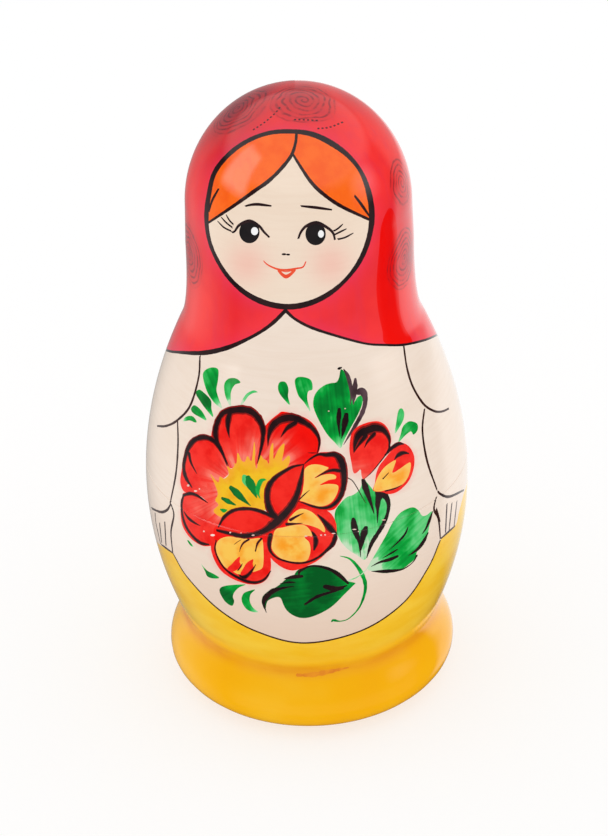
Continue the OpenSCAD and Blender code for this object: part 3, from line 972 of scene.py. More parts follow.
# Clear lacquer
COAT_ROUGHNESS = 0.08
COAT_IOR = 1.5


class Nodes:
    """Short calls for building one material."""

    def __init__(self, name, gloss=True):
        self.material = bpy.data.materials.new(name)
        self.material.use_nodes = True
        self.tree = self.material.node_tree
        self.shader = self.tree.nodes["Principled BSDF"]
        self.shader.inputs["Roughness"].default_value = 0.5
        self.shader.inputs["Specular IOR Level"].default_value = 0.0
        if gloss:
            self.shader.inputs["Coat Weight"].default_value = 1.0
            self.shader.inputs["Coat Roughness"].default_value = COAT_ROUGHNESS
            self.shader.inputs["Coat IOR"].default_value = COAT_IOR

    def add(self, kind, inputs=None, **settings):
        node = self.tree.nodes.new(kind)
        for key, value in settings.items():
            setattr(node, key, value)
        for key, value in (inputs or {}).items():
            self.feed(node.inputs[key], value)
        return node

    def feed(self, socket, value):
        if isinstance(value, bpy.types.NodeSocket):
            self.tree.links.new(value, socket)
        else:
            socket.default_value = value

    def split(self, name):
        """The three numbers of a mesh attribute."""
        value = self.add("ShaderNodeAttribute", attribute_name=name).outputs["Vector"]
        return self.add("ShaderNodeSeparateXYZ", {"Vector": value}).outputs

    def math(self, operation, a, b=0.0, clamp=False):
        node = self.add("ShaderNodeMath", operation=operation, use_clamp=clamp)
        for socket, value in zip(node.inputs, (a, b)):
            self.feed(socket, value)
        return node.outputs[0]

    def place(self):
        return self.add("ShaderNodeTexCoord").outputs["Object"]

    def noise(self, vector, scale, detail=3.0, rough=0.55, stretch=None):
        if stretch:
            vector = self.add("ShaderNodeMapping", {"Vector": vector, "Scale": stretch}).outputs[0]
        node = self.add("ShaderNodeTexNoise", {"Vector": vector, "Scale": scale, "Detail": detail,
                                               "Roughness": rough})
        return node.outputs["Fac"]

    def streaks(self, brush, scale):
        """Noise drawn out along the brush."""
        flat = self.add("ShaderNodeCombineXYZ", {"X": brush[0], "Y": brush[1]}).outputs[0]
        return self.noise(flat, scale, detail=3.0, rough=0.6)

    def ramp(self, value, stops):
        node = self.add("ShaderNodeValToRGB", {"Fac": value})
        parts = node.color_ramp.elements
        while len(parts) < len(stops):
            parts.new(0.5)
        for part, (place_, shade) in zip(parts, stops):
            part.position = place_
            part.color = shade
        return node.outputs[0]

    def mix(self, share, a, b):
        node = self.add("ShaderNodeMix", data_type="RGBA")
        self.feed(node.inputs[0], share)
        self.feed(node.inputs[6], a)
        self.feed(node.inputs[7], b)
        return node.outputs[2]

    def spread(self, value, low, high, to_low=0.0, to_high=1.0):
        ends = {"Value": value, "From Min": low, "From Max": high, "To Min": to_low, "To Max": to_high}
        return self.add("ShaderNodeMapRange", ends, interpolation_type="SMOOTHSTEP").outputs[0]

    def finish(self, shade):
        self.feed(self.shader.inputs["Base Color"], shade)
        return self.material


def plain_paint(name, shade, dark):
    """One colour, a little uneven."""
    n = Nodes(name)
    return n.finish(n.mix(n.spread(n.noise(n.place(), 260.0), 0.35, 0.7), shade, dark))


def cream_paint(name, light, dark, low, blush):
    """Varnished wood: faint grain round the axis, darker below, and the blush that stands in the mesh."""
    n = Nodes(name)
    tone = n.split("tone")
    grain = n.noise(n.place(), 90.0, detail=4.0, stretch=(1.0, 1.0, 14.0))
    cloud = n.noise(n.place(), 35.0)
    shade = n.mix(n.spread(grain, 0.35, 0.7, 0.0, 0.35), light, dark)
    shade = n.mix(n.spread(cloud, 0.4, 0.75, 0.0, 0.35), shade, dark)
    shade = n.mix(tone[2], shade, low)
    return n.finish(n.mix(tone[0], shade, blush))


def scarf_paint(name, light, dark, streaked):
    """Red dye with pink along the lines, dark swirls and smudges."""
    n = Nodes(name)
    _, pink, smudge = n.split("tone")
    cloud = n.noise(n.place(), 45.0, detail=4.0)
    streak = n.noise(n.place(), 60.0, stretch=(6.0, 6.0, 1.0))
    shade = n.mix(n.spread(cloud, 0.35, 0.7), light, dark)
    shade = n.mix(n.spread(streak, 0.45, 0.8, 0.0, 0.4), shade, streaked)
    rosy = n.math("MULTIPLY", pink, n.spread(cloud, 0.25, 0.65, 0.2, 0.6))
    shade = n.mix(rosy, shade, colour(236, 56, 100))
    part = n.split("swirl")
    square = n.math("ADD", n.math("MULTIPLY", part[0], part[0]), n.math("MULTIPLY", part[1], part[1]))
    radius = n.math("SQRT", square)
    turn = n.math("DIVIDE", n.math("ARCTAN2", part[1], part[0]), 2 * math.pi)
    shaky = n.spread(n.noise(n.place(), 130.0, detail=2.0), 0.3, 0.7, 0.0, 0.9)
    wave = n.math("FRACT", n.math("ADD", n.math("SUBTRACT", n.math("DIVIDE", radius, 1.3), turn), shaky))
    thread = n.math("SUBTRACT", 1.0, n.spread(n.math("ABSOLUTE", n.math("SUBTRACT", wave, 0.5)), 0.06, 0.3))
    worn = n.spread(n.noise(n.place(), 420.0, detail=2.0), 0.35, 0.6, 0.2, 0.95)
    within = n.spread(n.math("SUBTRACT", part[2], radius), 0.0, 1.6, 0.0, 0.7)
    grime = n.math("MULTIPLY", smudge, n.spread(cloud, 0.3, 0.7, 0.65, 1.0))
    shade = n.mix(grime, shade, colour(100, 38, 54))
    ink = n.math("ADD", n.math("MULTIPLY", n.math("MULTIPLY", thread, worn), 0.8), 0.16)
    return n.finish(n.mix(n.math("MULTIPLY", ink, within), shade, colour(64, 18, 34)))


def skirt_paint():
    """Yellow dye that ran unevenly, more orange on the base; painted shade, with pooled dye, in the crease.
    """
    n = Nodes("skirt")
    crease_shade_and_pool, _, low = n.split("tone")
    band = n.noise(n.place(), 55.0, detail=4.0, stretch=(1.0, 1.0, 3.0))
    patch = n.noise(n.place(), 28.0)
    shade = n.mix(n.spread(band, 0.3, 0.7), colour(254, 208, 62), colour(250, 194, 32))
    shade = n.mix(n.math("MULTIPLY", low, n.spread(patch, 0.2, 0.6, 0.5, 1.0)), shade, colour(251, 182, 6))
    shade = n.mix(n.spread(patch, 0.5, 0.78, 0.0, 0.6), shade, colour(249, 170, 12))
    # painted shade along the crease in darker orange, partly dye pooled there
    shadow = n.math("MULTIPLY", crease_shade_and_pool, n.spread(band, 0.3, 0.7, 0.45, 0.9))
    return n.finish(n.mix(shadow, shade, colour(232, 142, 14)))


def leaf_paint():
    """Wet green in blotches, thin towards the stalk."""
    n = Nodes("leaf")
    brush = n.split("brush")
    blotch = n.noise(n.place(), 150.0, detail=3.0, rough=0.5)
    value = n.math("ADD", brush[2], n.spread(blotch, 0.32, 0.68, -0.2, 0.2))
    value = n.math("ADD", value, n.spread(n.streaks(brush, 0.3), 0.35, 0.65, -0.06, 0.06))
    value = n.math("ADD", value, n.spread(brush[0], 0.4, 0.0, 0.0, 0.45))
    greens = [(0.0, colour(0, 90, 32)), (0.25, colour(0, 118, 42)), (0.5, colour(0, 164, 58)),
              (0.72, colour(66, 198, 104)), (0.9, colour(120, 214, 140)), (1.0, colour(196, 226, 190))]
    return n.finish(n.ramp(value, greens))


def petal_red(name, main, deep):
    """Red that thins out in streaks towards the heart."""
    n = Nodes(name)
    brush = n.split("brush")
    shade = n.mix(n.spread(n.noise(n.place(), 330.0), 0.38, 0.7), main, deep)
    thin = n.math("MULTIPLY", brush[2], n.spread(n.streaks(brush, 0.5), 0.35, 0.62, 0.1, 0.75))
    return n.finish(n.mix(thin, shade, colour(255, 150, 130)))


def petal_yellow(name, light, deep, rim):
    """Yellow with orange in it, paler along its rim."""
    n = Nodes(name)
    brush = n.split("brush")
    shade = n.mix(n.spread(n.noise(n.place(), 230.0), 0.36, 0.66), light, deep)
    return n.finish(n.mix(n.math("MULTIPLY", brush[2], 0.7), shade, rim))


def wood_paint():
    """Bare lime wood with the rings that the chisel leaves."""
    n = Nodes("wood", gloss=False)
    ring = n.noise(n.place(), 120.0, detail=4.0, stretch=(0.6, 0.6, 9.0))
    fleck = n.noise(n.place(), 700.0, detail=2.0)
    shade = n.mix(n.spread(ring, 0.35, 0.7), colour(232, 208, 172), colour(212, 182, 140))
    shade = n.mix(n.spread(fleck, 0.55, 0.8, 0.0, 0.35), shade, colour(192, 158, 116))
    n.shader.inputs["Roughness"].default_value = 0.62
    return n.finish(shade)


def paints():
    """All materials, by the name of their paint."""
    made = {
        "cream": cream_paint("cream", colour(244, 227, 212), colour(236, 215, 196), colour(233, 205, 184),
                             colour(244, 160, 150)),
        "skin": cream_paint("skin", colour(244, 224, 204), colour(238, 214, 192), colour(233, 205, 184),
                            colour(246, 172, 158)),
        "scarf": scarf_paint("scarf", colour(252, 52, 48), colour(236, 38, 44), colour(228, 48, 72)),
        "dye": scarf_paint("dye", colour(246, 8, 0), colour(238, 2, 0), colour(230, 4, 8)),
        "skirt": skirt_paint(),
        "red": petal_red("red", colour(251, 46, 36), colour(238, 20, 14)),
        "scarlet": petal_red("scarlet", colour(250, 12, 2), colour(240, 2, 0)),
        "heart": petal_yellow("heart", colour(246, 194, 28), colour(238, 168, 10), colour(252, 174, 56)),
        "yolk": petal_yellow("yolk", colour(254, 200, 84), colour(254, 160, 30), colour(253, 208, 112)),
        "folded": plain_paint("folded", colour(250, 40, 28), colour(240, 18, 8)),
        "leaf": leaf_paint(),
        "wood": wood_paint(),
        "ink": plain_paint("ink", colour(44, 22, 24), colour(28, 14, 18)),
        "wine": plain_paint("wine", colour(148, 26, 22), colour(120, 18, 18)),
        "pine": plain_paint("pine", colour(12, 88, 42), colour(8, 70, 34)),
        "ash": plain_paint("ash", colour(92, 70, 76), colour(58, 40, 44)),
        "brown": plain_paint("brown", colour(62, 30, 24), colour(44, 20, 16)),
        "hair": plain_paint("hair", colour(255, 108, 26), colour(250, 94, 18)),
        "pupil": plain_paint("pupil", colour(26, 20, 22), colour(18, 14, 16)),
        "white": plain_paint("white", colour(250, 250, 250), colour(244, 244, 244)),
        "lips": plain_paint("lips", colour(242, 90, 54), colour(236, 72, 44)),
        "soot": plain_paint("soot", colour(70, 16, 30), colour(52, 14, 26)),
        "chip": plain_paint("chip", colour(250, 222, 210), colour(240, 190, 176)),
        "rust": plain_paint("rust", colour(240, 152, 30), colour(222, 118, 30)),
    }
    return [made[name] for name in PAINTS]


# Meshes

def inside_loops(points, loops):
    """Which points lie inside the loops, by how often these go round them."""
    turns = np.zeros(len(points), int)
    for loop in loops:
        ax, ay = loop[:, 0], loop[:, 1]
        bx, by = np.roll(ax, -1), np.roll(ay, -1)
        near = np.nonzero((points[:, 0] >= ax.min()) & (points[:, 0] <= ax.max())
                          & (points[:, 1] >= ay.min()) & (points[:, 1] <= ay.max()))[0]
        for part in np.array_split(near, max(1, len(near) * len(loop) // BATCH + 1)):
            x = points[part, 0][:, None]
            y = points[part, 1][:, None]
            side = (bx - ax) * (y - ay) - (x - ax) * (by - ay)
            rise = (ay <= y) & (by > y) & (side > 0)
            fall = (ay > y) & (by <= y) & (side < 0)
            turns[part] += rise.sum(1) - fall.sum(1)
    return turns != 0


def grid_points(low_s, high_s, spacing):
    """Even points on the outside between two outline lengths."""
    out = []
    for k, s in enumerate(np.arange(low_s + 0.6 * spacing, high_s - 0.3 * spacing, 0.87 * spacing)):
        count = max(int(2 * math.pi * r_at(s) / spacing), 5)
        theta = (np.arange(count) + 0.5 * (k % 2)) * 2 * math.pi / count - math.pi
        out.append(np.stack([theta, np.full(count, s)], 1))
    return np.concatenate(out)


def thinned(loop, every):
    """A closed loop with only some of its points, for the coarser meshes of small dolls."""
    if every <= 1 or len(loop) < 12:
        return loop
    count = max(int(len(loop) / every), 8)
    return loop[np.unique(np.linspace(0, len(loop), count, endpoint=False).astype(int))]


def outside_mesh(chart, rim_s, spacing, every, whole):
    """Triangles of a half's outside, or the whole: angle and length of its vertices, faces, shapes."""
    low_s, high_s = (rim_s, OUTLINE_S[-1]) if chart.up else (0.0, rim_s)
    points, edges, marks = [], [], []
    wear = every < FULL_DETAIL
    loops = [[thinned(loop, every) for loop in shape.loops if wear or not shape.wear] for shape in SHAPES]
    rim = ring_at(rim_s, int(SEAM_POINTS / every ** 0.5))
    reach = PAST_SEAM_MM

    def add_loop(loop):
        start = len(points)
        points.extend(chart.plane(loop[:, 0], loop[:, 1]).tolist())
        marks.extend(place(loop[:, 0], loop[:, 1]).tolist())
        edges.extend((start + i, start + (i + 1) % len(loop)) for i in range(len(loop)))

    add_loop(rim)
    other = "bottom" if chart.up else "top"
    for shape, parts in zip(SHAPES, loops):
        if shape.only == other and not whole:
            continue
        for loop in parts:
            in_reach = (loop[:, 1] > low_s - reach) & (loop[:, 1] < high_s + reach)
            if not shape.cut or not in_reach.any():
                continue
            if in_reach.all():
                add_loop(loop)
                continue
            clipped = loop.copy()
            clipped[:, 1] = np.clip(loop[:, 1], low_s - reach, high_s + reach)
            add_loop(clipped)
    tree = kdtree.KDTree(len(marks))
    for i, mark in enumerate(marks):
        tree.insert(mark, i)
    tree.balance()
    grid = grid_points(low_s, high_s, spacing)
    for spot, (theta, s) in zip(place(grid[:, 0], grid[:, 1]), grid):
        if tree.find(spot)[2] > 0.6 * spacing:
            points.append(chart.plane(theta, s).tolist())
    points.append((0.0, 0.0))
    found = geometry.delaunay_2d_cdt([Vector(p) for p in points], edges, [], 0, SAME_POINT, False)
    flat = np.array([tuple(v) for v in found[0]])
    faces = np.array([f for f in found[2]])
    middle = flat[faces].mean(1)
    corner = chart.plane(rim[:, 0], rim[:, 1])[0]
    part = 2 * math.pi / len(rim)
    turn = (np.arctan2(middle[:, 1], middle[:, 0]) - math.atan2(corner[1], corner[0])) % part - part / 2
    chord = np.hypot(*corner) * math.cos(part / 2) / np.cos(turn)
    faces = faces[np.hypot(middle[:, 0], middle[:, 1]) < chord]
    a, b, c = (flat[faces[:, i]] for i in range(3))
    turn = (b[:, 0] - a[:, 0]) * (c[:, 1] - a[:, 1]) - (b[:, 1] - a[:, 1]) * (c[:, 0] - a[:, 0])
    flip = (turn > 0) != chart.up
    faces[flip] = faces[flip][:, ::-1]
    used, faces = np.unique(faces, return_inverse=True)
    faces = faces.reshape(-1, 3)
    flat = flat[used]
    middle = flat[faces].mean(1)
    owner = np.full(len(faces), -1)
    for k, parts in enumerate(loops):
        if not parts or SHAPES[k].only == other and not whole:
            continue
        inside = inside_loops(middle, [chart.plane(p[:, 0], p[:, 1]) for p in parts])
        owner[inside != (SHAPES[k].only == other)] = k
    theta, s = chart.back(flat)
    return theta, s, faces, owner


def edge_ring(faces, theta):
    """Vertices of the open edge, in the order of their angle."""
    pairs = np.sort(np.concatenate([faces[:, [0, 1]], faces[:, [1, 2]], faces[:, [2, 0]]]), axis=1)
    edges, count = np.unique(pairs, axis=0, return_counts=True)
    ring = np.unique(edges[count == 1])
    return ring[np.argsort(theta[ring])]


def turned_profile(up, scale):
    """Profile of one half from its outer rim round the joint and the inside to the axis."""
    edge = EDGE_BREAK / scale
    seam_r = float(body_r(SEAM_Z))
    lip_r = float(body_r(SOCKET_END_Z)) - SOCKET_WALL
    lip_bore = lip_r - LIP_WALL
    t = np.linspace(0, 1, INSIDE_STEPS + 1)
    if up:
        socket_r = lip_r + JOINT_GAP / scale
        z = blend(SOCKET_END_Z, SHOULDER_Z, t)
        joint = [(seam_r - edge, SEAM_Z), (socket_r, SEAM_Z), (socket_r, SOCKET_END_Z)]
        cap = head_outline(WALL, INSIDE_STEPS)
        return np.concatenate([joint, np.stack([body_r(z) - WALL, z], 1), cap])
    floor_r = float(body_r(FLOOR_Z)) - WALL
    corner_z = FLOOR_Z + FLOOR_FILLET

    def bowl_r(z):
        return blend(lip_bore, floor_r, ((SEAM_Z - z) / (SEAM_Z - FLOOR_Z)) ** 2)

    z = blend(SEAM_Z, corner_z, t)
    quarter = t[1:] * math.pi / 2
    corner = np.stack([bowl_r(corner_z) - FLOOR_FILLET * (1 - np.cos(quarter)),
                       corner_z - FLOOR_FILLET * np.sin(quarter)], 1)
    joint = [(seam_r - edge, SEAM_Z), (lip_r, SEAM_Z), (lip_r, LIP_TOP_Z - edge),
             (lip_r - edge, LIP_TOP_Z),
             (lip_bore, LIP_TOP_Z)]
    return np.concatenate([joint, np.stack([bowl_r(z), z], 1), corner, [(0.0, FLOOR_Z)]])


def profile_normals(profile, up):
    """Normals at both ends of every piece of a profile, smooth over small bends."""
    way = np.diff(profile, axis=0)
    way /= np.hypot(way[:, 0], way[:, 1])[:, None]
    normal = np.stack([-way[:, 1], way[:, 0]], 1) * (1 if up else -1)
    first, last = normal.copy(), normal.copy()
    soft = (normal[1:] * normal[:-1]).sum(1) > 0.8
    mean = normal[1:] + normal[:-1]
    mean /= np.maximum(np.hypot(mean[:, 0], mean[:, 1]), 1e-9)[:, None]
    first[1:][soft] = mean[soft]
    last[:-1][soft] = mean[soft]
    return first, last


class Half:
    """Mesh of one half or of the solid doll, in millimetres of the outermost doll."""

    def __init__(self):
        self.points = []
        self.polygons = []
        self.normals = []
        self.paint = []
        self.uv = []
        self.tone = []
        self.brush = []
        self.swirl = []
        self.count = 0

    def add(self, points, corners, normals, paint, uv, tone=None, brush=None, swirl=None):
        """corners: faces as rows of vertex numbers; the others are one row per corner."""
        self.points.append(points)
        self.polygons.append(corners + self.count)
        self.count += len(points)
        size = corners.size
        self.normals.append(normals)
        self.paint.append(paint)
        self.uv.append(uv)
        self.tone.append(np.zeros((size, 3)) if tone is None else tone)
        self.brush.append(np.zeros((size, 3)) if brush is None else brush)
        self.swirl.append(np.tile((99.0, 0.0, 0.0), (size, 1)) if swirl is None else swirl)


UV_MARGIN = 0.01
UV_INSIDE = 0.2
UV_FRONT = 0.55


def wrapped(theta):
    """Angles of faces' corners without the jump behind the doll."""
    far = theta.max(1) - theta.min(1) > math.pi
    return np.where(far[:, None] & (theta < 0), theta + 2 * math.pi, theta)


def unrolled(theta, share, low, high):
    """Texture place: the angle, with more room for the front, and a share of the height."""
    u = (theta + UV_FRONT * np.sin(theta) + math.pi) / (2 * math.pi)
    u = UV_MARGIN + (1 - 4 * UV_MARGIN) * u
    return np.stack([u, low + UV_MARGIN + (high - low - 2 * UV_MARGIN) * share], -1)


# Marks that the paints read from the mesh

PALE_MARKS = np.concatenate([smooth(HEART, closed=True), BUD_BASE, PALE_SPOTS])
PALE_PX = 5.0
RIM_PX = 2.2
HALO_MM = 0.28
PINK_MM = 2.4
HALO_STRENGTH = 0.28
# The cream darkens over this height below the seam; the skirt's crease has painted shade with pooled dye,
# and its base is orange
DARKEN_MM = 36
CREASE_Z = WAIST_Z - 1
CREASE_MM = 1.8
ORANGE_Z = WAIST_Z + 6
ORANGE_MM = 8
# Way along the brush where a stroke of green has its full colour; reach and streaks of the petals
FULL_GREEN = 0.7
PETAL_PX = 74
STREAKS = 14


def brush_coordinates(pixels, owner):
    """Per corner: way along the brush, place across it, and the paint's lightness or thinness."""
    brush = np.zeros(pixels.shape[:2] + (3,))
    for k, shape in enumerate(SHAPES):
        mine = np.nonzero(owner == k)[0]
        if not len(mine):
            continue
        spots = pixels[mine]
        if shape.paint == "leaf":
            brush[mine] = (FULL_GREEN, 0.0, shape.light)
            if shape.base is not None:
                way = np.asarray(shape.tip) - shape.base
                off = spots - shape.base
                brush[mine, :, 0] = off @ way / (way @ way)
                brush[mine, :, 1] = off @ np.array([-way[1], way[0]]) / np.hypot(*way)
        elif shape.paint in ("red", "scarlet", "heart", "yolk"):
            off = spots - HEART_MIDDLE
            if shape.paint in ("red", "scarlet"):
                marks, reach = PALE_MARKS, PALE_PX
            else:
                marks, reach = to_pixels(place(shape.loops[0][:, 0], shape.loops[0][:, 1])), RIM_PX
            near = np.sqrt(((spots[:, :, None] - marks) ** 2).sum(-1)).min(-1) / reach
            far = np.hypot(off[..., 0], off[..., 1])
            turn = np.arctan2(off[..., 1], off[..., 0])
            brush[mine] = np.stack([far / PETAL_PX, turn * STREAKS, np.exp(-near)], -1)
    return brush


def swirl_coordinates(spots):
    """Per corner: place in the nearest swirl and that swirl's radius, all in millimetres."""
    seen = on_surface([p for p, _ in SWIRLS_SEEN])
    theta = np.concatenate([seen[0], np.radians([a for (a, _), _ in SWIRLS_BEHIND])])
    s = np.concatenate([seen[1], s_at(np.array([z for (_, z), _ in SWIRLS_BEHIND]))])
    radius = np.array([r for _, r in SWIRLS_SEEN + SWIRLS_BEHIND])
    centre = place(theta, s)
    normal = outward(theta, s)
    east = np.stack([np.cos(theta), np.sin(theta), 0 * theta], -1)
    north = np.cross(normal, east)
    middle = spots.mean(1)
    gap = np.linalg.norm(middle[:, None] - centre[None], axis=2) - radius
    best = gap.argmin(1)
    off = spots - centre[best][:, None]
    x = (off * east[best][:, None]).sum(-1)
    y = (off * north[best][:, None]).sum(-1)
    size = np.linalg.norm(off, axis=2)
    flat = np.maximum(np.hypot(x, y), 1e-9)
    return np.stack([x / flat * size, y / flat * size, np.broadcast_to(radius[best][:, None], x.shape)], -1)


def nearest(spots, marks, reach):
    """Closeness to marks: 1 on them, falling off over reach."""
    tree = kdtree.KDTree(len(marks))
    for i, mark in enumerate(marks):
        tree.insert(mark, i)
    tree.balance()
    return np.exp(-np.array([tree.find(p)[2] for p in spots]) / reach)


def surface_points(pixels):
    return place(*on_surface(pixels))


SCARF_LINES = surface_points(np.concatenate([smooth(p)[:, :2] for p in (SCARF_LEFT, SCARF_RIGHT)]
                                            + [smooth(HEAD_SHEET(RING), closed=True)[:, :2]]))
PETAL_EDGES = [smooth(sheet(points), closed=True) for _, sheet, points in RED_GROUNDS]
PETAL_RIMS = surface_points(np.concatenate(PETAL_EDGES))
SMUDGE_SPOTS = surface_points([pixel for pixel, _, _ in SMUDGES])


def smudged(spots):
    """How dark the smudges on the scarf are at some spots."""
    dark = np.zeros(len(spots))
    for centre, (_, reach, strength) in zip(SMUDGE_SPOTS, SMUDGES):
        gap = np.linalg.norm(spots - centre, axis=1)
        dark = np.maximum(dark, strength * np.exp(-(gap / reach) ** 2))
    return dark


def blushing(pixels, spots):
    """Redness of the cheeks."""
    glow = sum(np.exp(-((pixels - cheek) ** 2).sum(1) / CHEEK_PX ** 2) for cheek in CHEEKS)
    return (spots[:, 1] < 0) * CHEEK_STRENGTH * glow


def tones(paint, pixels, spots, faces):
    """Per corner: the three numbers that cream, skin, scarf and skirt read, each its own."""
    z = spots[:, 2]
    kinds = {
        "cream": (HALO_STRENGTH * nearest(spots, PETAL_RIMS, HALO_MM), 0 * z,
                  np.clip((SEAM_Z - z) / DARKEN_MM, 0, 1)),
        "skin": (blushing(pixels, spots), 0 * z, 0 * z),
        "scarf": (0 * z, nearest(spots, SCARF_LINES, PINK_MM), smudged(spots)),
        "dye": (0 * z, 0 * z, smudged(spots)),
        # skirt: painted shade with some pooled dye along the crease, then more orange towards the base
        "skirt": (np.exp(-((z - CREASE_Z) / CREASE_MM) ** 2), 0 * z,
                  np.clip((ORANGE_Z - z) / ORANGE_MM, 0, 1)),
    }
    tone = np.zeros(faces.shape + (3,))
    for name, values in kinds.items():
        mine = paint == PAINTS.index(name)
        tone[mine] = np.stack(values, 1)[faces[mine]]
    return tone


def rim_marks(faces, ring, paint, **marks):
    """Paint and marks of the outside along its open edge, for the broken edge beside it."""
    on_edge = {}
    for f in np.nonzero(np.isin(faces, ring).sum(1) > 1)[0]:
        for c in range(3):
            d = (c + 1) % 3
            on_edge[faces[f, c], faces[f, d]] = (f, c, d)
            on_edge[faces[f, d], faces[f, c]] = (f, d, c)
    found = np.array([on_edge[a, b] for a, b in zip(ring, np.roll(ring, -1))])
    rim = {key: rows[found[:, :1], found[:, 1:]] for key, rows in marks.items()}
    return paint[found[:, 0]], rim


def build_half(up, scale, rim_s, whole=False):
    """One half from its rim or, with the whole of the solid doll, all above its foot."""
    chart = Chart(up)
    spacing = GRID_MM / scale ** GRID_POWER
    every = 1 / scale ** LINE_POWER
    theta, s, faces, owner = outside_mesh(chart, rim_s, spacing, every, whole)
    ring = edge_ring(faces, theta)
    s[ring] = rim_s
    spots = place(theta, s)
    half = Half()
    corner_theta = wrapped(theta[faces])
    corner_s = s[faces]
    low_s, high_s = (rim_s, OUTLINE_S[-1]) if up else (0.0, rim_s)
    uv = unrolled(corner_theta, (corner_s - low_s) / (high_s - low_s), UV_INSIDE, 1.0)
    pixels = to_pixels(spots)
    paint = np.array([0] + [PAINTS.index(shape.paint) for shape in SHAPES])[owner + 1]
    marks = {"tone": tones(paint, pixels, spots, faces), "brush": brush_coordinates(pixels[faces], owner),
             "swirl": swirl_coordinates(spots[faces])}
    half.add(spots, faces, outward(theta, s)[faces].reshape(-1, 3), paint, uv.reshape(-1, 2),
             **{key: rows.reshape(-1, 3) for key, rows in marks.items()})
    profile = np.array([(0.0, 0.0)]) if whole else turned_profile(up, scale)
    turn_inside(half, ring, theta[ring], up, profile, rim_s, rim_marks(faces, ring, paint, **marks))
    return half


def turn_inside(half, ring, theta, up, profile, rim_s, rim):
    """Rings of the joint and the inside, closed onto the open edge of the outside."""
    start = np.array([[float(r_at(rim_s)), float(z_at(rim_s))]])
    whole = np.concatenate([start, profile])
    first, last = profile_normals(whole, up)
    count = len(theta)
    way = np.concatenate([[0], np.cumsum(np.hypot(*np.diff(whole, axis=0).T))])
    share = way / way[-1]
    spin = np.stack([np.sin(theta), -np.cos(theta)], 1)
    follow = np.roll(np.arange(count), -1)
    wide = np.append(theta, theta[0] + 2 * math.pi)
    wood = np.full(count, PAINTS.index("wood"))

    def add(points, corners, normals, turn, level, painted=None):
        """Faces in the order from the outer to the inner ring, which turns about below the seam."""
        order = slice(None) if up else slice(None, None, -1)
        uv = unrolled(turn, np.broadcast_to(level, turn.shape), 0.0, UV_INSIDE)[:, order]
        paint, marks = painted or (wood, {})
        marks = {key: rows[:, [0, 0, 1, 1]][:, order].reshape(-1, 3) for key, rows in marks.items()}
        half.add(points, corners[:, order], normals[:, order].reshape(-1, 3), paint, uv.reshape(-1, 2),
                 **marks)

    def spun(flat, turn):
        """Normals in space of (outward, up) normals at angles."""
        return np.stack([flat[:, 0] * np.sin(turn), -flat[:, 0] * np.cos(turn),
                         np.broadcast_to(flat[:, 1], turn.shape)], -1)

    for k, (r, z) in enumerate(profile[:-1]):
        base = ring if k == 0 else np.arange(count) + half.count - count
        fresh = np.concatenate([r * spin, np.full((count, 1), z)], 1)
        row = np.arange(count)
        low = base - half.count
        turn = np.stack([wide[:-1], wide[:-1], wide[1:], wide[1:]], 1)
        flat = np.stack([first[k], last[k], last[k], first[k]])
        level = np.array([share[k], share[k + 1], share[k + 1], share[k]])
        add(fresh, np.stack([low, row, row[follow], low[follow]], 1), spun(flat, turn), turn, level,
            rim if k == 0 else None)
    # fan that closes the inside on the axis
    base = (ring if len(profile) == 1 else np.arange(count) + half.count - count) - half.count
    turn = np.stack([wide[:-1], (wide[:-1] + wide[1:]) / 2, wide[1:]], 1)
    flat = np.tile((0.0, -1.0 if up else 1.0), (3, 1))
    level = np.array([share[-2], 1.0, share[-2]])
    tip = np.array([[0.0, 0.0, profile[-1, 1]]])
    add(tip, np.stack([base, np.zeros(count, int), base[follow]], 1), spun(flat, turn), turn, level)


def make_object(name, half, scale, foot_z, materials):
    """Blender object of a mesh, at its doll's place and scale."""
    points = np.concatenate(half.points) * scale * MM
    points[:, 2] += foot_z
    mesh = bpy.data.meshes.new(name)
    faces = [row for part in half.polygons for row in part.tolist()]
    mesh.from_pydata(points.tolist(), [], faces)
    for material in materials:
        mesh.materials.append(material)
    mesh.polygons.foreach_set("material_index", np.concatenate(half.paint).astype(np.int32))
    mesh.polygons.foreach_set("use_smooth", np.ones(len(faces), bool))
    layer = mesh.uv_layers.new(name="OFBake")
    layer.data.foreach_set("uv", np.concatenate(half.uv).astype(np.float32).ravel())
    for key, rows in (("tone", half.tone), ("brush", half.brush), ("swirl", half.swirl)):
        attribute = mesh.attributes.new(key, "FLOAT_VECTOR", "CORNER")
        attribute.data.foreach_set("vector", np.concatenate(rows).astype(np.float32).ravel())
    mesh.normals_split_custom_set(np.concatenate(half.normals).tolist())
    piece = bpy.data.objects.new(name, mesh)
    bpy.context.scene.collection.objects.link(piece)
    return piece


MATERIALS = paints()


def dress(name, half, scale, foot_z):
    piece = make_object("painted_" + name, half, scale, foot_z, MATERIALS)
    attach(piece, name)
    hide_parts(name)


def build_dolls():
    for k in range(1, HOLLOW_COUNT + 1):
        bottom = f"doll_{k}_bottom_half"
        top = f"doll_{k}_top_half"
        foot_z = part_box(bottom)[0].z
        seam_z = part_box(top)[0].z
        scale = (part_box(top)[1].z - seam_z) / (CROWN_Z - SEAM_Z) / MM
        edge = EDGE_BREAK / scale
        low = build_half(False, scale, float(s_at(SEAM_Z - edge)))
        high = build_half(True, scale, float(s_at(SEAM_Z + edge)))
        dress(bottom, low, scale, foot_z)
        dress(top, high, scale, seam_z - SEAM_Z * scale * MM)


def build_solid():
    name = f"doll_{HOLLOW_COUNT + 1}_solid"
    low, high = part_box(name)
    scale = (high.z - low.z) / CROWN_Z / MM
    dress(name, build_half(True, scale, FOOT_R, whole=True), scale, low.z)


build_dolls()
build_solid()


# Studio

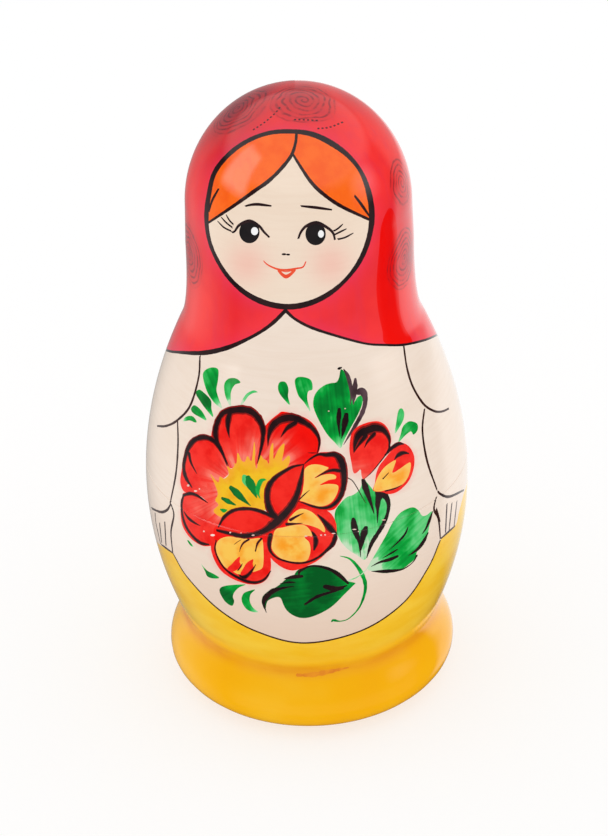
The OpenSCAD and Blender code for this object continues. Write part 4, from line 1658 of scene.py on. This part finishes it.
def add_camera():
    data = bpy.data.cameras.new("camera")
    data.sensor_width = SENSOR_MM
    data.lens = FOCAL_PX * SENSOR_MM / PHOTO_H
    camera = bpy.data.objects.new("camera", data)
    axes = Matrix((RIGHT, UP, -AHEAD)).transposed().to_4x4()
    camera.matrix_world = Matrix.Translation(Vector(CAMERA * MM)) @ axes
    bpy.context.scene.collection.objects.link(camera)
    bpy.context.scene.camera = camera


# Light that the lacquer mirrors, in degrees to the right from the front and up from level: the left
# and right end, the low and high end, the softness of the ends and the brightness
MIRRORED = [
    (-200, 200, 27, 100, 10, 0.9),
    (-92, -59, 14, 52, 8, 3.2),
    (62, 90, 6, 28, 16, 1.8),
    (-65, 84, -32, 2, 14, 0.22),
    (-200, -122, -44, 30, 16, 0.35),
    (-150, -84, -44, 2, 40, 0.6),
    (110, 200, -38, -8, 10, 1.0),
    (118, 200, -28, 30, 12, 0.5),
]
ROOM_LIGHT = 0.06
# Diffuse light from ahead, and how much more comes from straight left and right
FRONT_LIGHT = 0.9
SIDE_LIGHT = 0.42


def add_world():
    """White all round; glossy surfaces see a dim room with a bright ceiling and screens."""
    world = bpy.data.worlds.new("studio")
    bpy.context.scene.world = world
    world.use_nodes = True
    tree = world.node_tree
    n = tree.nodes

    def number(operation, a, b=0.0, clamp=False):
        node = n.new("ShaderNodeMath")
        node.operation = operation
        node.use_clamp = clamp
        for socket, value in zip(node.inputs, (a, b)):
            if isinstance(value, bpy.types.NodeSocket):
                tree.links.new(value, socket)
            else:
                socket.default_value = value
        return node.outputs[0]

    def between(value, low, high, soft):
        rise = number("DIVIDE", number("SUBTRACT", value, low - soft / 2), soft, clamp=True)
        fall = number("DIVIDE", number("SUBTRACT", high + soft / 2, value), soft, clamp=True)
        return number("MULTIPLY", rise, fall)

    way = n.new("ShaderNodeTexCoord").outputs["Generated"]
    part = n.new("ShaderNodeSeparateXYZ")
    tree.links.new(way, part.inputs[0])
    x, y, z = part.outputs
    turn = number("DEGREES", number("ARCTAN2", x, number("MULTIPLY", y, -1.0)))
    rise = number("DEGREES", number("ARCSINE", z))
    glow = ROOM_LIGHT
    for left, right, low, high, soft, bright in MIRRORED:
        area = number("MULTIPLY", between(turn, left, right, soft), between(rise, low, high, soft))
        glow = number("MAXIMUM", glow, number("MULTIPLY", area, bright))
    plain = n["Background"]
    plain.inputs["Color"].default_value = (1.0, 1.0, 1.0, 1.0)
    aside = number("MULTIPLY", number("MULTIPLY", x, x), SIDE_LIGHT)
    tree.links.new(number("ADD", aside, FRONT_LIGHT), plain.inputs["Strength"])
    mirror = n.new("ShaderNodeBackground")
    tree.links.new(glow, mirror.inputs["Strength"])
    mirror.inputs["Color"].default_value = (1.0, 1.0, 1.0, 1.0)
    rays = n.new("ShaderNodeLightPath")
    choice = n.new("ShaderNodeMixShader")
    tree.links.new(rays.outputs["Is Glossy Ray"], choice.inputs[0])
    tree.links.new(plain.outputs[0], choice.inputs[1])
    tree.links.new(mirror.outputs[0], choice.inputs[2])
    tree.links.new(choice.outputs[0], n["World Output"].inputs["Surface"])


FLOOR_SIZE = 40.0
FLOOR_GAP = 0.0002
FLOOR_SHADE = (0.35, 0.35, 0.35, 1.0)
FLOOR_ROUGHNESS = 0.9
FLOOR_GLOW = 0.65


def add_floor():
    bpy.ops.mesh.primitive_plane_add(size=FLOOR_SIZE, location=(0, 0, -FLOOR_GAP))
    floor = bpy.context.object
    floor.name = "floor"
    floor.visible_glossy = False
    pale = bpy.data.materials.new("floor")
    pale.use_nodes = True
    shader = pale.node_tree.nodes["Principled BSDF"]
    shader.inputs["Base Color"].default_value = FLOOR_SHADE
    shader.inputs["Roughness"].default_value = FLOOR_ROUGHNESS
    shader.inputs["Specular IOR Level"].default_value = 0.0
    shader.inputs["Emission Color"].default_value = (1.0, 1.0, 1.0, 1.0)
    shader.inputs["Emission Strength"].default_value = FLOOR_GLOW
    floor.data.materials.append(pale)


bpy.context.scene.view_settings.view_transform = "Standard"
add_camera()
add_world()
add_floor()
